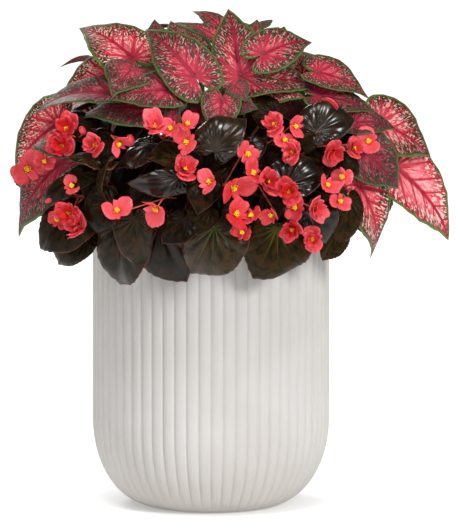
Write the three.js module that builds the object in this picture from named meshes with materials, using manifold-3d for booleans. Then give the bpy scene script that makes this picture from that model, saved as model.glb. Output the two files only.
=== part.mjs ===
// A mixed house-plant pot: bronze-leaved begonias with red flowers round the front and the rim, and
// heart-leaved caladiums rising from their tubers behind them, in a tall ribbed planter.
// Millimetres, +Z up. The origin is the middle of the planter's flat underside, and -Y is the front.
import * as THREE from "three";
import { mergeVertices } from "three/addons/utils/BufferGeometryUtils.js";
import Module from "manifold-3d";

// ---------------------------------------------------------------- driving dimensions
const POT = {
  radius: 200, // over the crests of the ribs
  height: 500,
  wall: 15,
  floor: 20,
  cornerIn: 97, // how far the rounded foot draws in
  cornerUp: 145, // and how high up it starts
  cornerSteps: 4, // facets round the foot outside
  innerSteps: 2, // and inside
  rimBand: 32, // the plain band above the ribs
};
const RIBS = { count: 60, depth: 4.5, fade: 40 };
const DRAIN = { count: 4, radius: 9, circle: 62, sides: 10 };
const SOIL = { top: 468, dome: 6, sides: 30 };
const GAP = 0.4; // kept between pieces that would touch
const SHORTEST_EDGE = 0.18;

const POT_ROOM = 26; // between the pot's wall and the leaves that hang outside it
const MOUND = { x: 18, waist: 545, wide: 350, deep: 285, up: 300, down: 235 }; // the foliage's outer form

const STEEPEST = 0.6; // depth of a leaf against its length across the view
const LEAF_THICK = 1.7;
const PETAL_THICK = 1.5;
const PETIOLE = { radius: 3, sides: 3 }; // a caladium leaf's stalk
const TWIG = { radius: 2.2, sides: 3 }; // a begonia leaf's stalk
const SPRAY_STALK = { radius: 2.2, sides: 3 };
const FLOWER_STALK = { radius: 1.8, sides: 3 };
const STALK_SEAT = 6; // from a leaf's foot to where its stalk comes in from below
const TUBER = { radius: 24, height: 48, sides: 6, above: 12 };
const STEM = { count: 12, circle: 138, buried: 38, rise: 150, lean: 50, radius: 5.5, sides: 5 };
const FLOWER_REACH = 29; // from the middle of a full-sized flower to the end of a large petal
const FLOWER_SEAT = 0.2; // of that reach, where the flower's stalk ends
const STAMEN_HEIGHT = 6;
const BUD_SIZE = 0.6; // flowers smaller than this are still closed

// How the photograph maps to the front: its scale, the pot's axis and foot, and the tilt of the view.
const MM_PER_PIXEL = (2 * POT.radius) / 236.5;
const AXIS_PIXEL = 211;
const FOOT_PIXEL = 501.5;
const VIEW_TILT = THREE.MathUtils.degToRad(9);

// ---------------------------------------------------------------- what the photograph shows
// Caladium leaves, read by eye: the pixel of the leaf's foot, where its veins meet, and of its tip, then how far
// the foot stands in front of the mound, how much further the tip does, the blade's roll, and its width.
const CALADIUM_LEAVES = [
  [96, 60, 60, 69, -60, 0, 74, 0.3],
  [134, 60, 80, 26, 0, -10, 18, 1.08],
  [112, 76, 58, 100, -30, 8, 0, 0.95],
  [112, 96, 35, 115, -10, 22, 34, 0.62],
  [134, 71, 113, 99, 34, 26, 0, 1.5],
  [196, 80, 146, 32, 26, 12, 0, 0.8],
  [171, 92, 110, 103, 18, 22, 8, 0.85],
  [154, 112, 80, 119, -32, 20, 24, 0.85],
  [60, 124, 18, 174, -60, -8, 0, 1.15],
  [62, 163, 19, 236, -30, -10, 14, 0.85],
  [64, 150, 33, 147, 12, 14, 30, 0.9],
  [158, 50, 155, 20, -60, -12, 10, 0.9],
  [190, 66, 171, 23, -30, -8, 0, 1.15],
  [218, 40, 175, 26, -72, 0, 22, 0.8],
  [224, 34, 193, 10, -85, -4, 10, 0.7],
  [240, 79, 228, 9, -6, -8, 0, 0.76],
  [252, 50, 257, 21, -86, -14, 0, 1.2],
  [276, 56, 284, 28, -95, -10, 0, 1.2],
  [262, 57, 312, 42, 46, 6, 0, 0.92],
  [251, 85, 322, 91, -16, 8, -26, 0.95],
  [250, 93, 306, 99, -14, 12, 0, 0.7],
  [222, 101, 217, 143, 14, -8, 0, 1.05],
  [236, 88, 247, 104, 18, 0, 0, 1.3],
  [234, 104, 258, 111, 6, 8, 20, 1.1],
  [317, 74, 370, 98, 24, 12, -14, 0.86],
  [300, 84, 303, 53, -26, -6, 0, 0.85],
  [318, 98, 375, 117, 6, 12, -22, 0.8],
  [352, 124, 395, 130, 16, 10, -18, 0.8],
  [378, 123, 429, 158, -34, 4, 0, 1.02],
  [394, 167, 449, 240, -66, 4, 0, 0.78],
  [360, 150, 399, 190, 6, 14, 10, 1],
  [358, 186, 374, 259, -24, 8, -26, 0.86],
  [173, 124, 174, 96, 2, 0, 0, 0.62],
  [199, 118, 197, 88, -30, 0, 0, 0.8],
];

// Begonia leaves in the same way, and last the side that the larger half of the lopsided blade is on.
const BEGONIA_LEAVES = [
  [215, 153, 246, 121, 44, 8, 0, 1.15, 1],
  [314, 134, 353, 121, 40, 10, 0, 1.05, 1],
  [272, 119, 263, 94, 0, 0, 0, 1.2, 1],
  [183, 161, 146, 158, 12, 8, 24, 1, -1],
  [152, 145, 119, 169, -8, 14, 20, 1, 1],
  [180, 179, 129, 184, 24, 10, -24, 0.62, 1],
  [202, 180, 198, 215, 30, 14, 0, 1.1, 1],
  [210, 211, 197, 236, 22, 12, 0, 1.2, -1],
  [215, 227, 189, 278, 8, 6, 0, 1.08, 1],
  [160, 226, 187, 281, -34, -4, 0, 0.88, -1],
  [277, 228, 252, 281, 0, -2, 0, 1.1, 1],
  [122, 224, 119, 288, -2, -6, 0, 0.84, 1],
  [136, 219, 146, 271, 22, 6, 0, 0.7, -1],
  [74, 212, 40, 249, 10, 4, 0, 0.95, 1],
  [90, 236, 54, 267, -16, -4, 0, 0.85, -1],
  [82, 174, 40, 202, 26, 8, 0, 0.5, 1],
  [98, 164, 70, 158, 36, 8, 50, 0.9, 1],
  [90, 128, 62, 114, -20, 0, 0, 0.9, 1],
  [106, 168, 104, 206, 22, 10, 56, 0.9, 1],
  [114, 204, 97, 236, 16, 4, 0, 1.1, -1],
  [244, 152, 267, 142, 8, 8, 0, 1.15, -1],
  [284, 187, 330, 171, 14, 6, 0, 0.95, 1],
  [347, 199, 340, 247, 2, 4, 0, 0.95, -1],
  [334, 232, 321, 261, -12, 0, 0, 0.9, 1],
  [306, 212, 326, 244, 6, 4, 0, 1.15, 1],
  [304, 150, 319, 136, 30, 8, 30, 1.1, 1],
  [204, 178, 234, 160, 4, 8, 0, 1, 1],
  [186, 218, 163, 243, 22, 8, 0, 1, 1],
  [112, 146, 92, 132, -34, 4, 0, 1.1, 1],
  [96, 168, 88, 204, 4, 4, 0, 0.9, 1],
  [152, 188, 133, 207, 6, 8, 0, 1.1, -1],
  [330, 164, 362, 173, 2, 6, 0, 0.9, 1],
  [262, 166, 288, 152, -4, 6, 0, 1, 1],
  [238, 208, 222, 232, 14, 8, 0, 1.1, 1],
  [270, 200, 262, 226, -6, 8, 0, 1.1, 1],
];

// Sprays of flowers: the pixel of each flower's middle, and its size.
const FLOWER_SPRAYS = [
  [[68, 131, 0.98], [64, 147, 1], [84, 132, 0.5], [98, 147, 0.85]],
  [[29, 170, 1.25], [46, 163, 0.7]],
  [[74, 188, 0.75], [71, 214, 0.95], [60, 220, 0.7], [82, 229, 1], [51, 201, 0.45]],
  [[119, 144, 0.75], [132, 141, 0.55]],
  [[157, 129, 0.95], [173, 131, 0.8], [187, 127, 0.8], [188, 144, 1]],
  [[185, 172, 1.05]],
  [[158, 208, 1.1], [118, 212, 0.95]],
  [[211, 183, 0.9], [233, 188, 1.25], [251, 175, 0.85], [246, 155, 0.95]],
  [[235, 215, 1.05], [252, 217, 0.7], [243, 233, 0.7]],
  [[266, 183, 1], [272, 215, 0.75]],
  [[288, 193, 0.95], [295, 208, 0.85], [312, 208, 0.9], [293, 229, 0.85], [312, 238, 0.85]],
  [[275, 128, 0.95], [293, 128, 0.75], [283, 143, 0.8], [293, 153, 0.8]],
  [[330, 152, 0.95], [351, 151, 0.8], [367, 143, 0.95]],
  [[342, 178, 0.85], [325, 187, 0.75], [338, 203, 0.75]],
  [[322, 108, 0.85]],
];
const FLOWER_LIFT = 34; // flowers stand this far in front of the mound

// ---------------------------------------------------------------- the hidden side, by rule
// Rows of leaves that carry the mound round the back: how many, over which bearings (degrees from the front,
// to the right), at what height on the mound (degrees above the waist), how long, and how far they stand out.
const CALADIUM_ROWS = [
  { count: 6, from: 122, to: 252, height: 20, length: 125, lift: 14 },
  { count: 4, from: 150, to: 232, height: 42, length: 120, lift: 0 },
  { count: 3, from: 162, to: 226, height: 60, length: 115, lift: -6 },
  { count: 2, from: 150, to: 230, height: 76, length: 110, lift: -14 },
  { count: 2, from: 90, to: 106, height: 34, length: 120, lift: -50 },
  { count: 2, from: 262, to: 276, height: 34, length: 120, lift: -36 },
];
const BEGONIA_ROWS = [
  { count: 7, from: 86, to: 278, height: 8, length: 84, lift: 2 },
  { count: 6, from: 122, to: 238, height: -9, length: 88, lift: 0 },
];
const BACK_SPRAYS = { count: 4, from: 128, to: 230, height: -2, flowers: 2, size: 0.95 };

// Where the caladium tubers stand: the bearing, and how far from the pot's axis.
const TUBERS = [[0, 22], [282, 90], [78, 90], [215, 94], [145, 94]];

// ---------------------------------------------------------------- outlines and small maths
// Half outlines of a blade, in lengths from foot to tip: the angle from the tip's direction, and the reach there.
const CALADIUM_EDGE = [[-146, 0.3], [-96, 0.41], [-38, 0.57], [0, 1], [38, 0.57], [96, 0.41], [146, 0.3]];
const BEGONIA_EDGE = [[-130, 0.2], [-74, 0.33], [-31, 0.58], [0, 1], [36, 0.73], [80, 0.57], [132, 0.4]];
const MIDDLE = 0.48; // of the midrib, where a blade is highest
// A flower's outline in the same way, about its middle: two wide petals, and two narrow ones between them.
const FLOWER_EDGE = [-26, 26, 60, 90, 120, 154, 206, 240, 270, 300].map((angle) => {
  const petal = angle % 90 === 0 ? 0.74 : 1;
  return [angle, angle % 60 === 0 ? 0.3 : petal];
});

const vec = (x, y, z) => new THREE.Vector3(x, y, z);
const radians = THREE.MathUtils.degToRad;
const TO_VIEWER = vec(0, -Math.cos(VIEW_TILT), Math.sin(VIEW_TILT));

// A repeatable number from 0 to 1 for the n-th draw of a kind: the fraction of a large sine.
function draw(n, kind) {
  const s = Math.sin(n * 12.9898 + kind * 78.233) * 43758.5453;
  return s - Math.floor(s);
}

// How far the mound's front stands from the plane of the pot's axis, at a place across and a height.
function moundDepth(x, z) {
  const level = z > MOUND.waist ? (z - MOUND.waist) / MOUND.up : (MOUND.waist - z) / MOUND.down;
  const share = Math.sqrt(1 - Math.min(level * level, 0.96));
  const across = (x - MOUND.x) / (MOUND.wide * share);
  return MOUND.deep * share * Math.sqrt(Math.max(0, 1 - across * across));
}

// The direction straight out of the mound at a point.
function outOf(p) {
  const tall = p.z > MOUND.waist ? MOUND.up : MOUND.down;
  const out = vec((p.x - MOUND.x) / MOUND.wide ** 2, p.y / MOUND.deep ** 2, (p.z - MOUND.waist) / tall ** 2);
  return out.normalize();
}

// The point of the mound's front that the photograph shows at a pixel, brought nearer to the viewer.
function seenAt(pixelX, pixelY, nearer) {
  const x = (pixelX - AXIS_PIXEL) * MM_PER_PIXEL;
  const rise = (FOOT_PIXEL - pixelY) * MM_PER_PIXEL;
  let y = 0;
  let z = rise / Math.cos(VIEW_TILT);
  for (let i = 0; i < 8; i++) {
    y = -moundDepth(x, z);
    z = (rise - y * Math.sin(VIEW_TILT)) / Math.cos(VIEW_TILT);
  }
  return vec(x, y, z).addScaledVector(TO_VIEWER, nearer);
}

// A point beside the pot's axis, at a bearing from the front, a distance out and a height.
function around(bearing, out, z) {
  return vec(out * Math.sin(radians(bearing)), -out * Math.cos(radians(bearing)), z);
}

// The point of the mound at a bearing and height, both in degrees, brought out by a distance, and below the
// rim kept clear of the pot's wall.
function onMound(bearing, height, out) {
  const b = radians(bearing);
  const h = radians(height);
  const tall = height > 0 ? MOUND.up : MOUND.down;
  const x = MOUND.x + MOUND.wide * Math.sin(b) * Math.cos(h);
  const p = vec(x, -MOUND.deep * Math.cos(b) * Math.cos(h), MOUND.waist + tall * Math.sin(h));
  p.addScaledVector(outOf(p), out);
  const wider = Math.max(1, (POT.radius + POT_ROOM) / Math.hypot(p.x, p.y));
  return p.z < POT.height + POT_ROOM ? p.multiply(vec(wider, wider, 1)) : p;
}

// A blade's own axes: along the midrib, across it, and out of its upper face, which looks between straight out
// of the mound, upwards and a given side, and is then rolled about the midrib.
function bladeAxes(foot, tip, side, roll) {
  const along = tip.clone().sub(foot);
  const length = along.length();
  along.normalize();
  const up = outOf(foot.clone().lerp(tip, 0.4)).multiplyScalar(0.6).addScaledVector(side, 0.5);
  up.z += 0.25;
  up.addScaledVector(along, -up.dot(along)).normalize().applyAxisAngle(along, radians(roll));
  return { along, across: up.clone().cross(along), up, length };
}

// ---------------------------------------------------------------- solids
const wasm = await Module();
wasm.setup();
const { Manifold, Mesh } = wasm;

function solidFrom(geometry) {
  const bare = new THREE.BufferGeometry();
  bare.setAttribute("position", geometry.getAttribute("position"));
  if (geometry.index) bare.setIndex(geometry.index);
  const merged = mergeVertices(bare, 1e-4);
  const corners = merged.index.array;
  const faces = [];
  for (let i = 0; i < corners.length; i += 3) {
    const [a, b, c] = corners.slice(i, i + 3);
    if (a !== b && b !== c && c !== a) faces.push(a, b, c);
  }
  const vertProperties = merged.getAttribute("position").array;
  return new Manifold(new Mesh({ numProp: 3, vertProperties, triVerts: new Uint32Array(faces) }));
}

function geometryFrom(solid) {
  const { vertProperties, triVerts } = solid.getMesh();
  const geometry = new THREE.BufferGeometry();
  geometry.setAttribute("position", new THREE.BufferAttribute(vertProperties, 3));
  geometry.setIndex(new THREE.BufferAttribute(triVerts, 1));
  return geometry;
}

// A point moved away from another one.
function awayFrom(other, p, distance) {
  return p.clone().addScaledVector(p.clone().sub(other).normalize(), distance);
}

// A few-sided bar along a smooth curve through points, with a section at each of them.
function bar(points, { radius, sides }, grow) {
  const last = points.length - 1;
  const first = awayFrom(points[1], points[0], grow);
  const ends = [first, ...points.slice(1, last), awayFrom(points[last - 1], points[last], grow)];
  const reach = radius + grow / Math.cos(Math.PI / sides);
  const section = new THREE.Shape();
  for (let i = 0; i < sides; i++) {
    const a = (i / sides) * 2 * Math.PI;
    if (i === 0) section.moveTo(reach, 0);
    else section.lineTo(reach * Math.cos(a), reach * Math.sin(a));
  }
  section.closePath();
  const extrudePath = new THREE.CatmullRomCurve3(ends, false, "centripetal");
  extrudePath.getPointAt = extrudePath.getPoint;
  extrudePath.getTangentAt = extrudePath.getTangent;
  return solidFrom(new THREE.ExtrudeGeometry(section, { steps: last, extrudePath, bevelEnabled: false }));
}

// A closed solid from a sheet of points, lifted by half a thickness to each side: both faces are cut into the
// same triangles, and a wall follows the sheet's edge.
function thickSheet(points, triangles, edge, thickness) {
  const under = points.length;
  const corners = [];
  for (const half of [0.5, -0.5]) {
    for (const p of points) corners.push(p.clone().addScaledVector(thickness, half));
  }
  const faces = [];
  for (const [a, b, c] of triangles) faces.push([a, b, c], [a + under, c + under, b + under]);
  edge.forEach((a, i) => {
    const b = edge[(i + 1) % edge.length];
    faces.push([a + under, b + under, b], [a + under, b, a]);
  });
  const position = new THREE.BufferAttribute(new Float32Array(corners.flatMap((p) => p.toArray())), 3);
  const geometry = new THREE.BufferGeometry().setAttribute("position", position);
  return solidFrom(geometry.setIndex(faces.flat()));
}

// The height of a blade over its own plane, in lengths: an arch from foot to tip that lets the lobes behind the
// foot drop, a crease along the midrib, a droop towards the sides, and waves along the edge.
function bladeHeight(x, y, shape) {
  const arch = shape.arch * (x > 0 ? 4 * x * (1 - x) : 4 * x);
  const crease = shape.crease * (Math.hypot(y, 0.03) - 0.03);
  const wave = shape.wave * Math.sin(shape.waves * Math.atan2(y, x) + shape.phase) * (x * x + y * y);
  return arch + crease - shape.droop * y * y + wave;
}

// A sheet of facets about a middle point, out to a closed edge.
function fan(middle, edge, thickness) {
  const points = [middle, ...edge];
  const triangles = edge.map((_, i) => [0, i + 1, ((i + 1) % edge.length) + 1]);
  const loop = edge.map((_, i) => i + 1);
  return thickSheet(points, triangles, loop, thickness);
}

// A leaf blade: facets from the middle of the midrib to the foot and the points of the edge, each at its height
// over the blade's plane.
function blade(foot, axes, edge, width, shape, grow) {
  const { along, across, up, length } = axes;
  const at = (x, y) => foot.clone()
    .addScaledVector(along, x * length)
    .addScaledVector(across, y * length)
    .addScaledVector(up, bladeHeight(x, y, shape) * length);
  const rim = [at(-grow / length, 0)];
  edge.forEach(([angle, reach], i) => {
    const far = reach + grow / length;
    const wider = i === 0 ? -1 : i === edge.length - 1 ? 1 : 0;
    const turn = radians(angle) + (wider * grow) / (far * length);
    rim.push(at(far * Math.cos(turn), far * Math.sin(turn) * width));
  });
  return fan(at(MIDDLE, 0), rim, up.clone().multiplyScalar(LEAF_THICK + 2 * grow));
}

// An open flower: facets from its middle, which stands up as the stamens, to the outline of its petals, which
// are cupped towards where the flower faces.
function flower({ middle, along, across, up, reach, cup }, grow) {
  const rim = FLOWER_EDGE.map(([angle, share]) => {
    const far = share * reach + 1.4 * grow;
    return middle.clone()
      .addScaledVector(along, far * Math.cos(radians(angle)))
      .addScaledVector(across, far * Math.sin(radians(angle)))
      .addScaledVector(up, cup * share * share * reach);
  });
  const heart = middle.clone().addScaledVector(up, STAMEN_HEIGHT);
  return fan(heart, rim, up.clone().multiplyScalar(PETAL_THICK + 4 * grow));
}

// A closed bud, eight-faced.
function bud({ middle, reach }, grow) {
  const form = new THREE.OctahedronGeometry(0.55 * reach + 2 * grow);
  return solidFrom(form.translate(middle.x, middle.y, middle.z));
}

// A solid of revolution about the pot's axis, from a profile of [radius, height] that runs up from the axis.
function revolved(profile, sides) {
  const points = profile.map(([r, z]) => new THREE.Vector2(r, z));
  return new THREE.LatheGeometry(points, sides).rotateX(Math.PI / 2);
}

// ---------------------------------------------------------------- the planter and its soil
// The pot's rounded form from the axis to the start of its straight wall, drawn in by a wall and a floor.
function footProfile(wall, floor, steps) {
  const profile = [[0, floor]];
  for (let i = 0; i <= steps; i++) {
    const a = (i / steps) * (Math.PI / 2);
    profile.push([
      POT.radius - POT.cornerIn + (POT.cornerIn - wall) * Math.sin(a),
      floor + (POT.cornerUp - floor) * (1 - Math.cos(a)),
    ]);
  }
  return profile;
}

// The pot's outside: two columns of points to a rib, one on its crest and one drawn in to the groove.
function potOutside() {
  const bandFoot = POT.height - POT.rimBand;
  const profile = footProfile(0, 0, POT.cornerSteps).concat([
    [POT.radius, bandFoot - 2],
    [POT.radius, bandFoot],
    [POT.radius, POT.height],
    [0, POT.height],
  ]);
  const geometry = revolved(profile, 2 * RIBS.count);
  const position = geometry.getAttribute("position");
  for (let i = 0; i < position.count; i++) {
    const z = position.getZ(i);
    const column = Math.floor(i / profile.length);
    const grooved = column % 2 === 1 && z < bandFoot - 1;
    const radius = Math.hypot(position.getX(i), position.getY(i));
    if (!grooved || radius < 1) continue;
    const share = 1 - (RIBS.depth * Math.min(1, z / RIBS.fade)) / radius;
    position.setX(i, position.getX(i) * share);
    position.setY(i, position.getY(i) * share);
  }
  return solidFrom(geometry);
}

function planter() {
  const inside = footProfile(POT.wall, POT.floor, POT.innerSteps);
  inside.push([POT.radius - POT.wall, POT.height + 1], [0, POT.height + 1]);
  let pot = potOutside().subtract(solidFrom(revolved(inside, SOIL.sides)));
  for (let i = 0; i < DRAIN.count; i++) {
    const middle = around((360 * i) / DRAIN.count, DRAIN.circle, POT.floor / 2);
    const hole = new THREE.CylinderGeometry(DRAIN.radius, DRAIN.radius, 2 * POT.floor, DRAIN.sides);
    pot = pot.subtract(solidFrom(hole.rotateX(Math.PI / 2).translate(middle.x, middle.y, middle.z)));
  }
  return pot;
}

function soil(holes) {
  const profile = footProfile(POT.wall + GAP, POT.floor + GAP, POT.innerSteps);
  profile.push([POT.radius - POT.wall - GAP, SOIL.top - SOIL.dome], [0, SOIL.top]);
  return solidFrom(revolved(profile, SOIL.sides)).subtract(Manifold.union(holes));
}

// ---------------------------------------------------------------- room between plants
// Every stalk, blade and petal is made twice: as it is, and fatter by GAP, the room that other plants leave it.
function piece(make) {
  const fat = make(GAP);
  return { solid: make(0), fat, box: fat.boundingBox() };
}

function boxesMeet(a, b) {
  return [0, 1, 2].every((i) => a.min[i] < b.max[i] && b.min[i] < a.max[i]);
}

function cutBy(one, others) {
  const near = others.filter((other) => boxesMeet(one.box, other.box)).map((other) => other.fat);
  return near.length ? one.solid.subtract(Manifold.union(near)) : one.solid;
}

function largestBody(solid) {
  const bodies = solid.decompose();
  return bodies.reduce((best, body) => (body.volume() > best.volume() ? body : best));
}

// A stalk along the one of a few bows, sideways and upwards, that runs clearest of the stalks and blades of other
// plants. Where it starts beside another plant's stem, it is cut off just short of it.
const BOWS = [[0, 0], [16, 0], [-16, 0], [0, 18], [30, 8], [-30, 8], [0, -18], [44, 0], [-44, 0], [30, -20],
  [-30, -20], [60, 10], [-60, 10]];
const CROSSING_COST = { stalk: 20, blade: 1 }; // of a cubic millimetre shared with another plant's
function clearStalk(plant, plants, route, form) {
  const others = plants.filter((other) => other !== plant);
  const stalks = others.flatMap((other) => other.stalks);
  const blades = others.flatMap((other) => other.blades);
  const shared = (stalk, all) => stalk.solid.volume() - cutBy(stalk, all).volume();
  let best = null;
  for (const [sideways, lift] of BOWS) {
    const stalk = piece((grow) => bar(route(sideways, lift), form, grow));
    stalk.bow = { sideways, lift };
    stalk.cost = CROSSING_COST.stalk * shared(stalk, stalks) + CROSSING_COST.blade * shared(stalk, blades);
    if (!best || stalk.cost < best.cost) best = stalk;
    if (best.cost < 1) break;
  }
  best.solid = largestBody(cutBy(best, stalks));
  return best;
}

// ---------------------------------------------------------------- leaves
// Leaves as { foot, tip, roll, width, half, side }: from the photograph's rows, and from the hidden side's rows.
// A leaf in the photograph follows the mound, but slopes away from the viewer no more than STEEPEST.
function seenLeaf([footX, footY, tipX, tipY, near, further, roll, width, half = 1]) {
  const foot = seenAt(footX, footY, near);
  const tip = seenAt(tipX, tipY, near + further);
  const depth = tip.clone().sub(foot).dot(TO_VIEWER);
  const most = STEEPEST * MM_PER_PIXEL * Math.hypot(tipX - footX, tipY - footY);
  tip.addScaledVector(TO_VIEWER, THREE.MathUtils.clamp(depth, -most, most) - depth);
  return { foot, tip, roll, width, half, side: TO_VIEWER };
}

function hiddenLeaves({ count, from, to, height, length, lift }, kind) {
  const leaves = [];
  for (let i = 0; i < count; i++) {
    const n = 10 * kind + i;
    const bearing = from + ((to - from) * (i + 0.3 * draw(n, 1))) / (count - 0.7);
    const foot = onMound(bearing, height + 6 * draw(n, 2), lift - 26 - 8 * (i % 2));
    const tilt = (length / (height > 0 ? MOUND.up : MOUND.down)) * (180 / Math.PI);
    const tip = onMound(bearing + 16 * (draw(n, 3) - 0.5), height - tilt * (0.85 + 0.15 * draw(n, 4)), lift);
    const reach = tip.clone().sub(foot).setLength(length * (0.9 + 0.2 * draw(n, 5)));
    const side = outOf(foot);
    leaves.push({ foot, tip: foot.clone().add(reach), roll: 24 * (draw(n, 6) - 0.5), width: 1, half: 1, side });
  }
  return leaves;
}

function caladiumShape(n) {
  return {
    arch: 0.07 + 0.05 * draw(n, 11),
    crease: 0.22 + 0.16 * draw(n, 12),
    droop: 0.35,
    wave: 0.035,
    waves: 5,
    phase: 6 * draw(n, 13),
  };
}

function begoniaShape(n) {
  return {
    arch: 0.08 + 0.06 * draw(n, 21),
    crease: 0.2 + 0.2 * draw(n, 22),
    droop: 0.3,
    wave: 0.06,
    waves: 6,
    phase: 6 * draw(n, 23),
  };
}

function leafBlade({ foot, tip, roll, width, half, side }, edge, shape) {
  const axes = bladeAxes(foot, tip, side, roll);
  const halves = half < 0 ? edge.map(([angle, reach]) => [-angle, reach]).reverse() : edge;
  return piece((grow) => blade(foot, axes, halves, width, shape, grow));
}

// The route of a leaf's stalk: from its root over by the bow, and into the blade from below.
function stalkRoute(root, leaf, sideways, lift) {
  const { along, up } = bladeAxes(leaf.foot, leaf.tip, leaf.side, leaf.roll);
  const across = leaf.foot.clone().sub(root).cross(vec(0, 0, 1)).normalize();
  const middle = root.clone().lerp(leaf.foot, 0.5).addScaledVector(across, sideways);
  middle.z += lift;
  const end = leaf.foot.clone().addScaledVector(along, STALK_SEAT).addScaledVector(up, 0.1 * STALK_SEAT);
  return [root, middle, end.clone().addScaledVector(up, -2 * STALK_SEAT), end];
}

// ---------------------------------------------------------------- begonias
// The middle line of a begonia's stem: straight up out of the soil, then leaning out over the rim.
function stemPoint(bearing, t) {
  return around(bearing, STEM.circle + STEM.lean * Math.max(0, t) ** 2, SOIL.top + STEM.rise * t);
}

function stemBearing(i) {
  return (360 * (i + 0.5)) / STEM.count;
}

function nearestStem(p) {
  const bearing = THREE.MathUtils.radToDeg(Math.atan2(p.x, -p.y));
  return Math.floor(((bearing + 360) % 360) / (360 / STEM.count));
}

const begonias = [];
const caladiums = [];
const blooms = [];
const plants = () => [...blooms, ...begonias, ...caladiums];

for (let i = 0; i < STEM.count; i++) {
  const points = [-STEM.buried / STEM.rise, 0, 0.5, 1].map((t) => stemPoint(stemBearing(i), t));
  const stem = piece((grow) => bar(points, STEM, grow));
  begonias.push({ name: `begonia_${i + 1}`, stalks: [stem], blades: [] });
}

const begoniaLeaves = BEGONIA_LEAVES.map(seenLeaf)
  .concat(BEGONIA_ROWS.flatMap((row, i) => hiddenLeaves(row, 5 + i)));
begoniaLeaves.forEach((leaf, n) => {
  const i = nearestStem(leaf.foot);
  const level = (leaf.foot.z - 30 - SOIL.top) / STEM.rise;
  const root = stemPoint(stemBearing(i), THREE.MathUtils.clamp(level, 0.2, 0.97));
  const plant = begonias[i];
  const route = (sideways, lift) => stalkRoute(root, leaf, sideways, lift + 14);
  plant.stalks.push(clearStalk(plant, plants(), route, TWIG));
  plant.blades.push(leafBlade(leaf, BEGONIA_EDGE, begoniaShape(n)));
});

// ---------------------------------------------------------------- caladiums
const tuberTops = TUBERS.map(([bearing, out]) => around(bearing, out, SOIL.top + TUBER.above));
tuberTops.forEach((top, i) => {
  const form = new THREE.CylinderGeometry(0.7 * TUBER.radius, TUBER.radius, TUBER.height, TUBER.sides);
  const tuber = piece((grow) => solidFrom(form.clone()
    .scale(1 + grow / (0.6 * TUBER.radius), 1 + (2 * grow) / TUBER.height, 1 + grow / (0.6 * TUBER.radius))
    .rotateX(Math.PI / 2)
    .translate(top.x, top.y, top.z - TUBER.height / 2)));
  caladiums.push({ name: `caladium_${i + 1}`, stalks: [tuber], blades: [] });
});

const caladiumLeaves = CALADIUM_LEAVES.map(seenLeaf)
  .concat(CALADIUM_ROWS.flatMap((row, i) => hiddenLeaves(row, i)));
caladiumLeaves.forEach((leaf, n) => {
  const plan = tuberTops.map((top) => Math.hypot(top.x - leaf.foot.x, top.y - leaf.foot.y));
  const i = plan.indexOf(Math.min(...plan));
  const top = tuberTops[i];
  const plant = caladiums[i];
  const low = THREE.MathUtils.clamp((900 - leaf.foot.z) / 400, 0.15, 1);
  const outward = leaf.foot.clone().sub(top).setZ(0).setLength(0.65 * low * TUBER.radius);
  const root = top.clone().add(outward).setZ(top.z - TUBER.above / 2);
  const route = (sideways, lift) => stalkRoute(root, leaf, sideways, lift + 26);
  plant.stalks.push(clearStalk(plant, plants(), route, PETIOLE));
  plant.blades.push(leafBlade(leaf, CALADIUM_EDGE, caladiumShape(n)));
});

// ---------------------------------------------------------------- flowers
// Where a flower faces and how it is turned, and the seat of its stalk in the back of a wide petal.
function flowerHead({ middle, size, n }, side) {
  const up = outOf(middle).addScaledVector(side ?? outOf(middle), 1);
  up.add(vec(3.4 * (draw(n, 33) - 0.5), 0, 3 * (draw(n, 34) - 0.5))).normalize();
  const along = vec(0, 0, 1).cross(up).normalize().applyAxisAngle(up, Math.PI * draw(n, 31));
  const head = { middle, size, along, across: up.clone().cross(along), up, seat: middle };
  head.reach = FLOWER_REACH * size;
  head.cup = 0.2 + 0.3 * draw(n, 32);
  if (size > BUD_SIZE) {
    const height = STAMEN_HEIGHT + FLOWER_SEAT * (head.cup * head.reach - STAMEN_HEIGHT);
    head.seat = middle.clone().addScaledVector(along, FLOWER_SEAT * head.reach).addScaledVector(up, height);
  }
  return head;
}

// A spray: a stalk from beside the nearest stem to its first flower, and from along it a stalk to each other one.
function growSpray(flowers, side) {
  const heads = flowers.map((flower) => flowerHead(flower, side));
  const { seat, up } = heads[0];
  const i = nearestStem(seat);
  const level = (seat.z - 40 - SOIL.top) / STEM.rise;
  const axis = stemPoint(stemBearing(i), THREE.MathUtils.clamp(level, 0.5, 0.98));
  const root = axis.clone().addScaledVector(seat.clone().sub(axis).setZ(0).normalize(), STEM.radius - 0.2);
  const behind = seat.clone().addScaledVector(up, -26);
  const across = seat.clone().sub(root).cross(vec(0, 0, 1)).normalize();
  const spray = { name: `begonia_bloom_${blooms.length + 1}`, stalks: [], blades: [] };
  blooms.push(spray);
  const route = (sideways, lift) => {
    const middle = root.clone().lerp(behind, 0.5).addScaledVector(across, sideways);
    return [root, middle.setZ(middle.z + lift), behind, seat];
  };
  const main = clearStalk(spray, plants(), route, SPRAY_STALK);
  spray.stalks.push(main);
  heads.slice(1).forEach((head, k) => {
    const fork = route(main.bow.sideways, main.bow.lift)[1].lerp(behind, 0.9 - 0.2 * k);
    const under = head.seat.clone().addScaledVector(head.up, -9);
    spray.stalks.push(clearStalk(spray, plants(), () => [fork, under, head.seat], FLOWER_STALK));
  });
  for (const head of heads) {
    const make = head.size > BUD_SIZE ? flower : bud;
    spray.blades.push(piece((grow) => make(head, grow)));
  }
}

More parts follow.
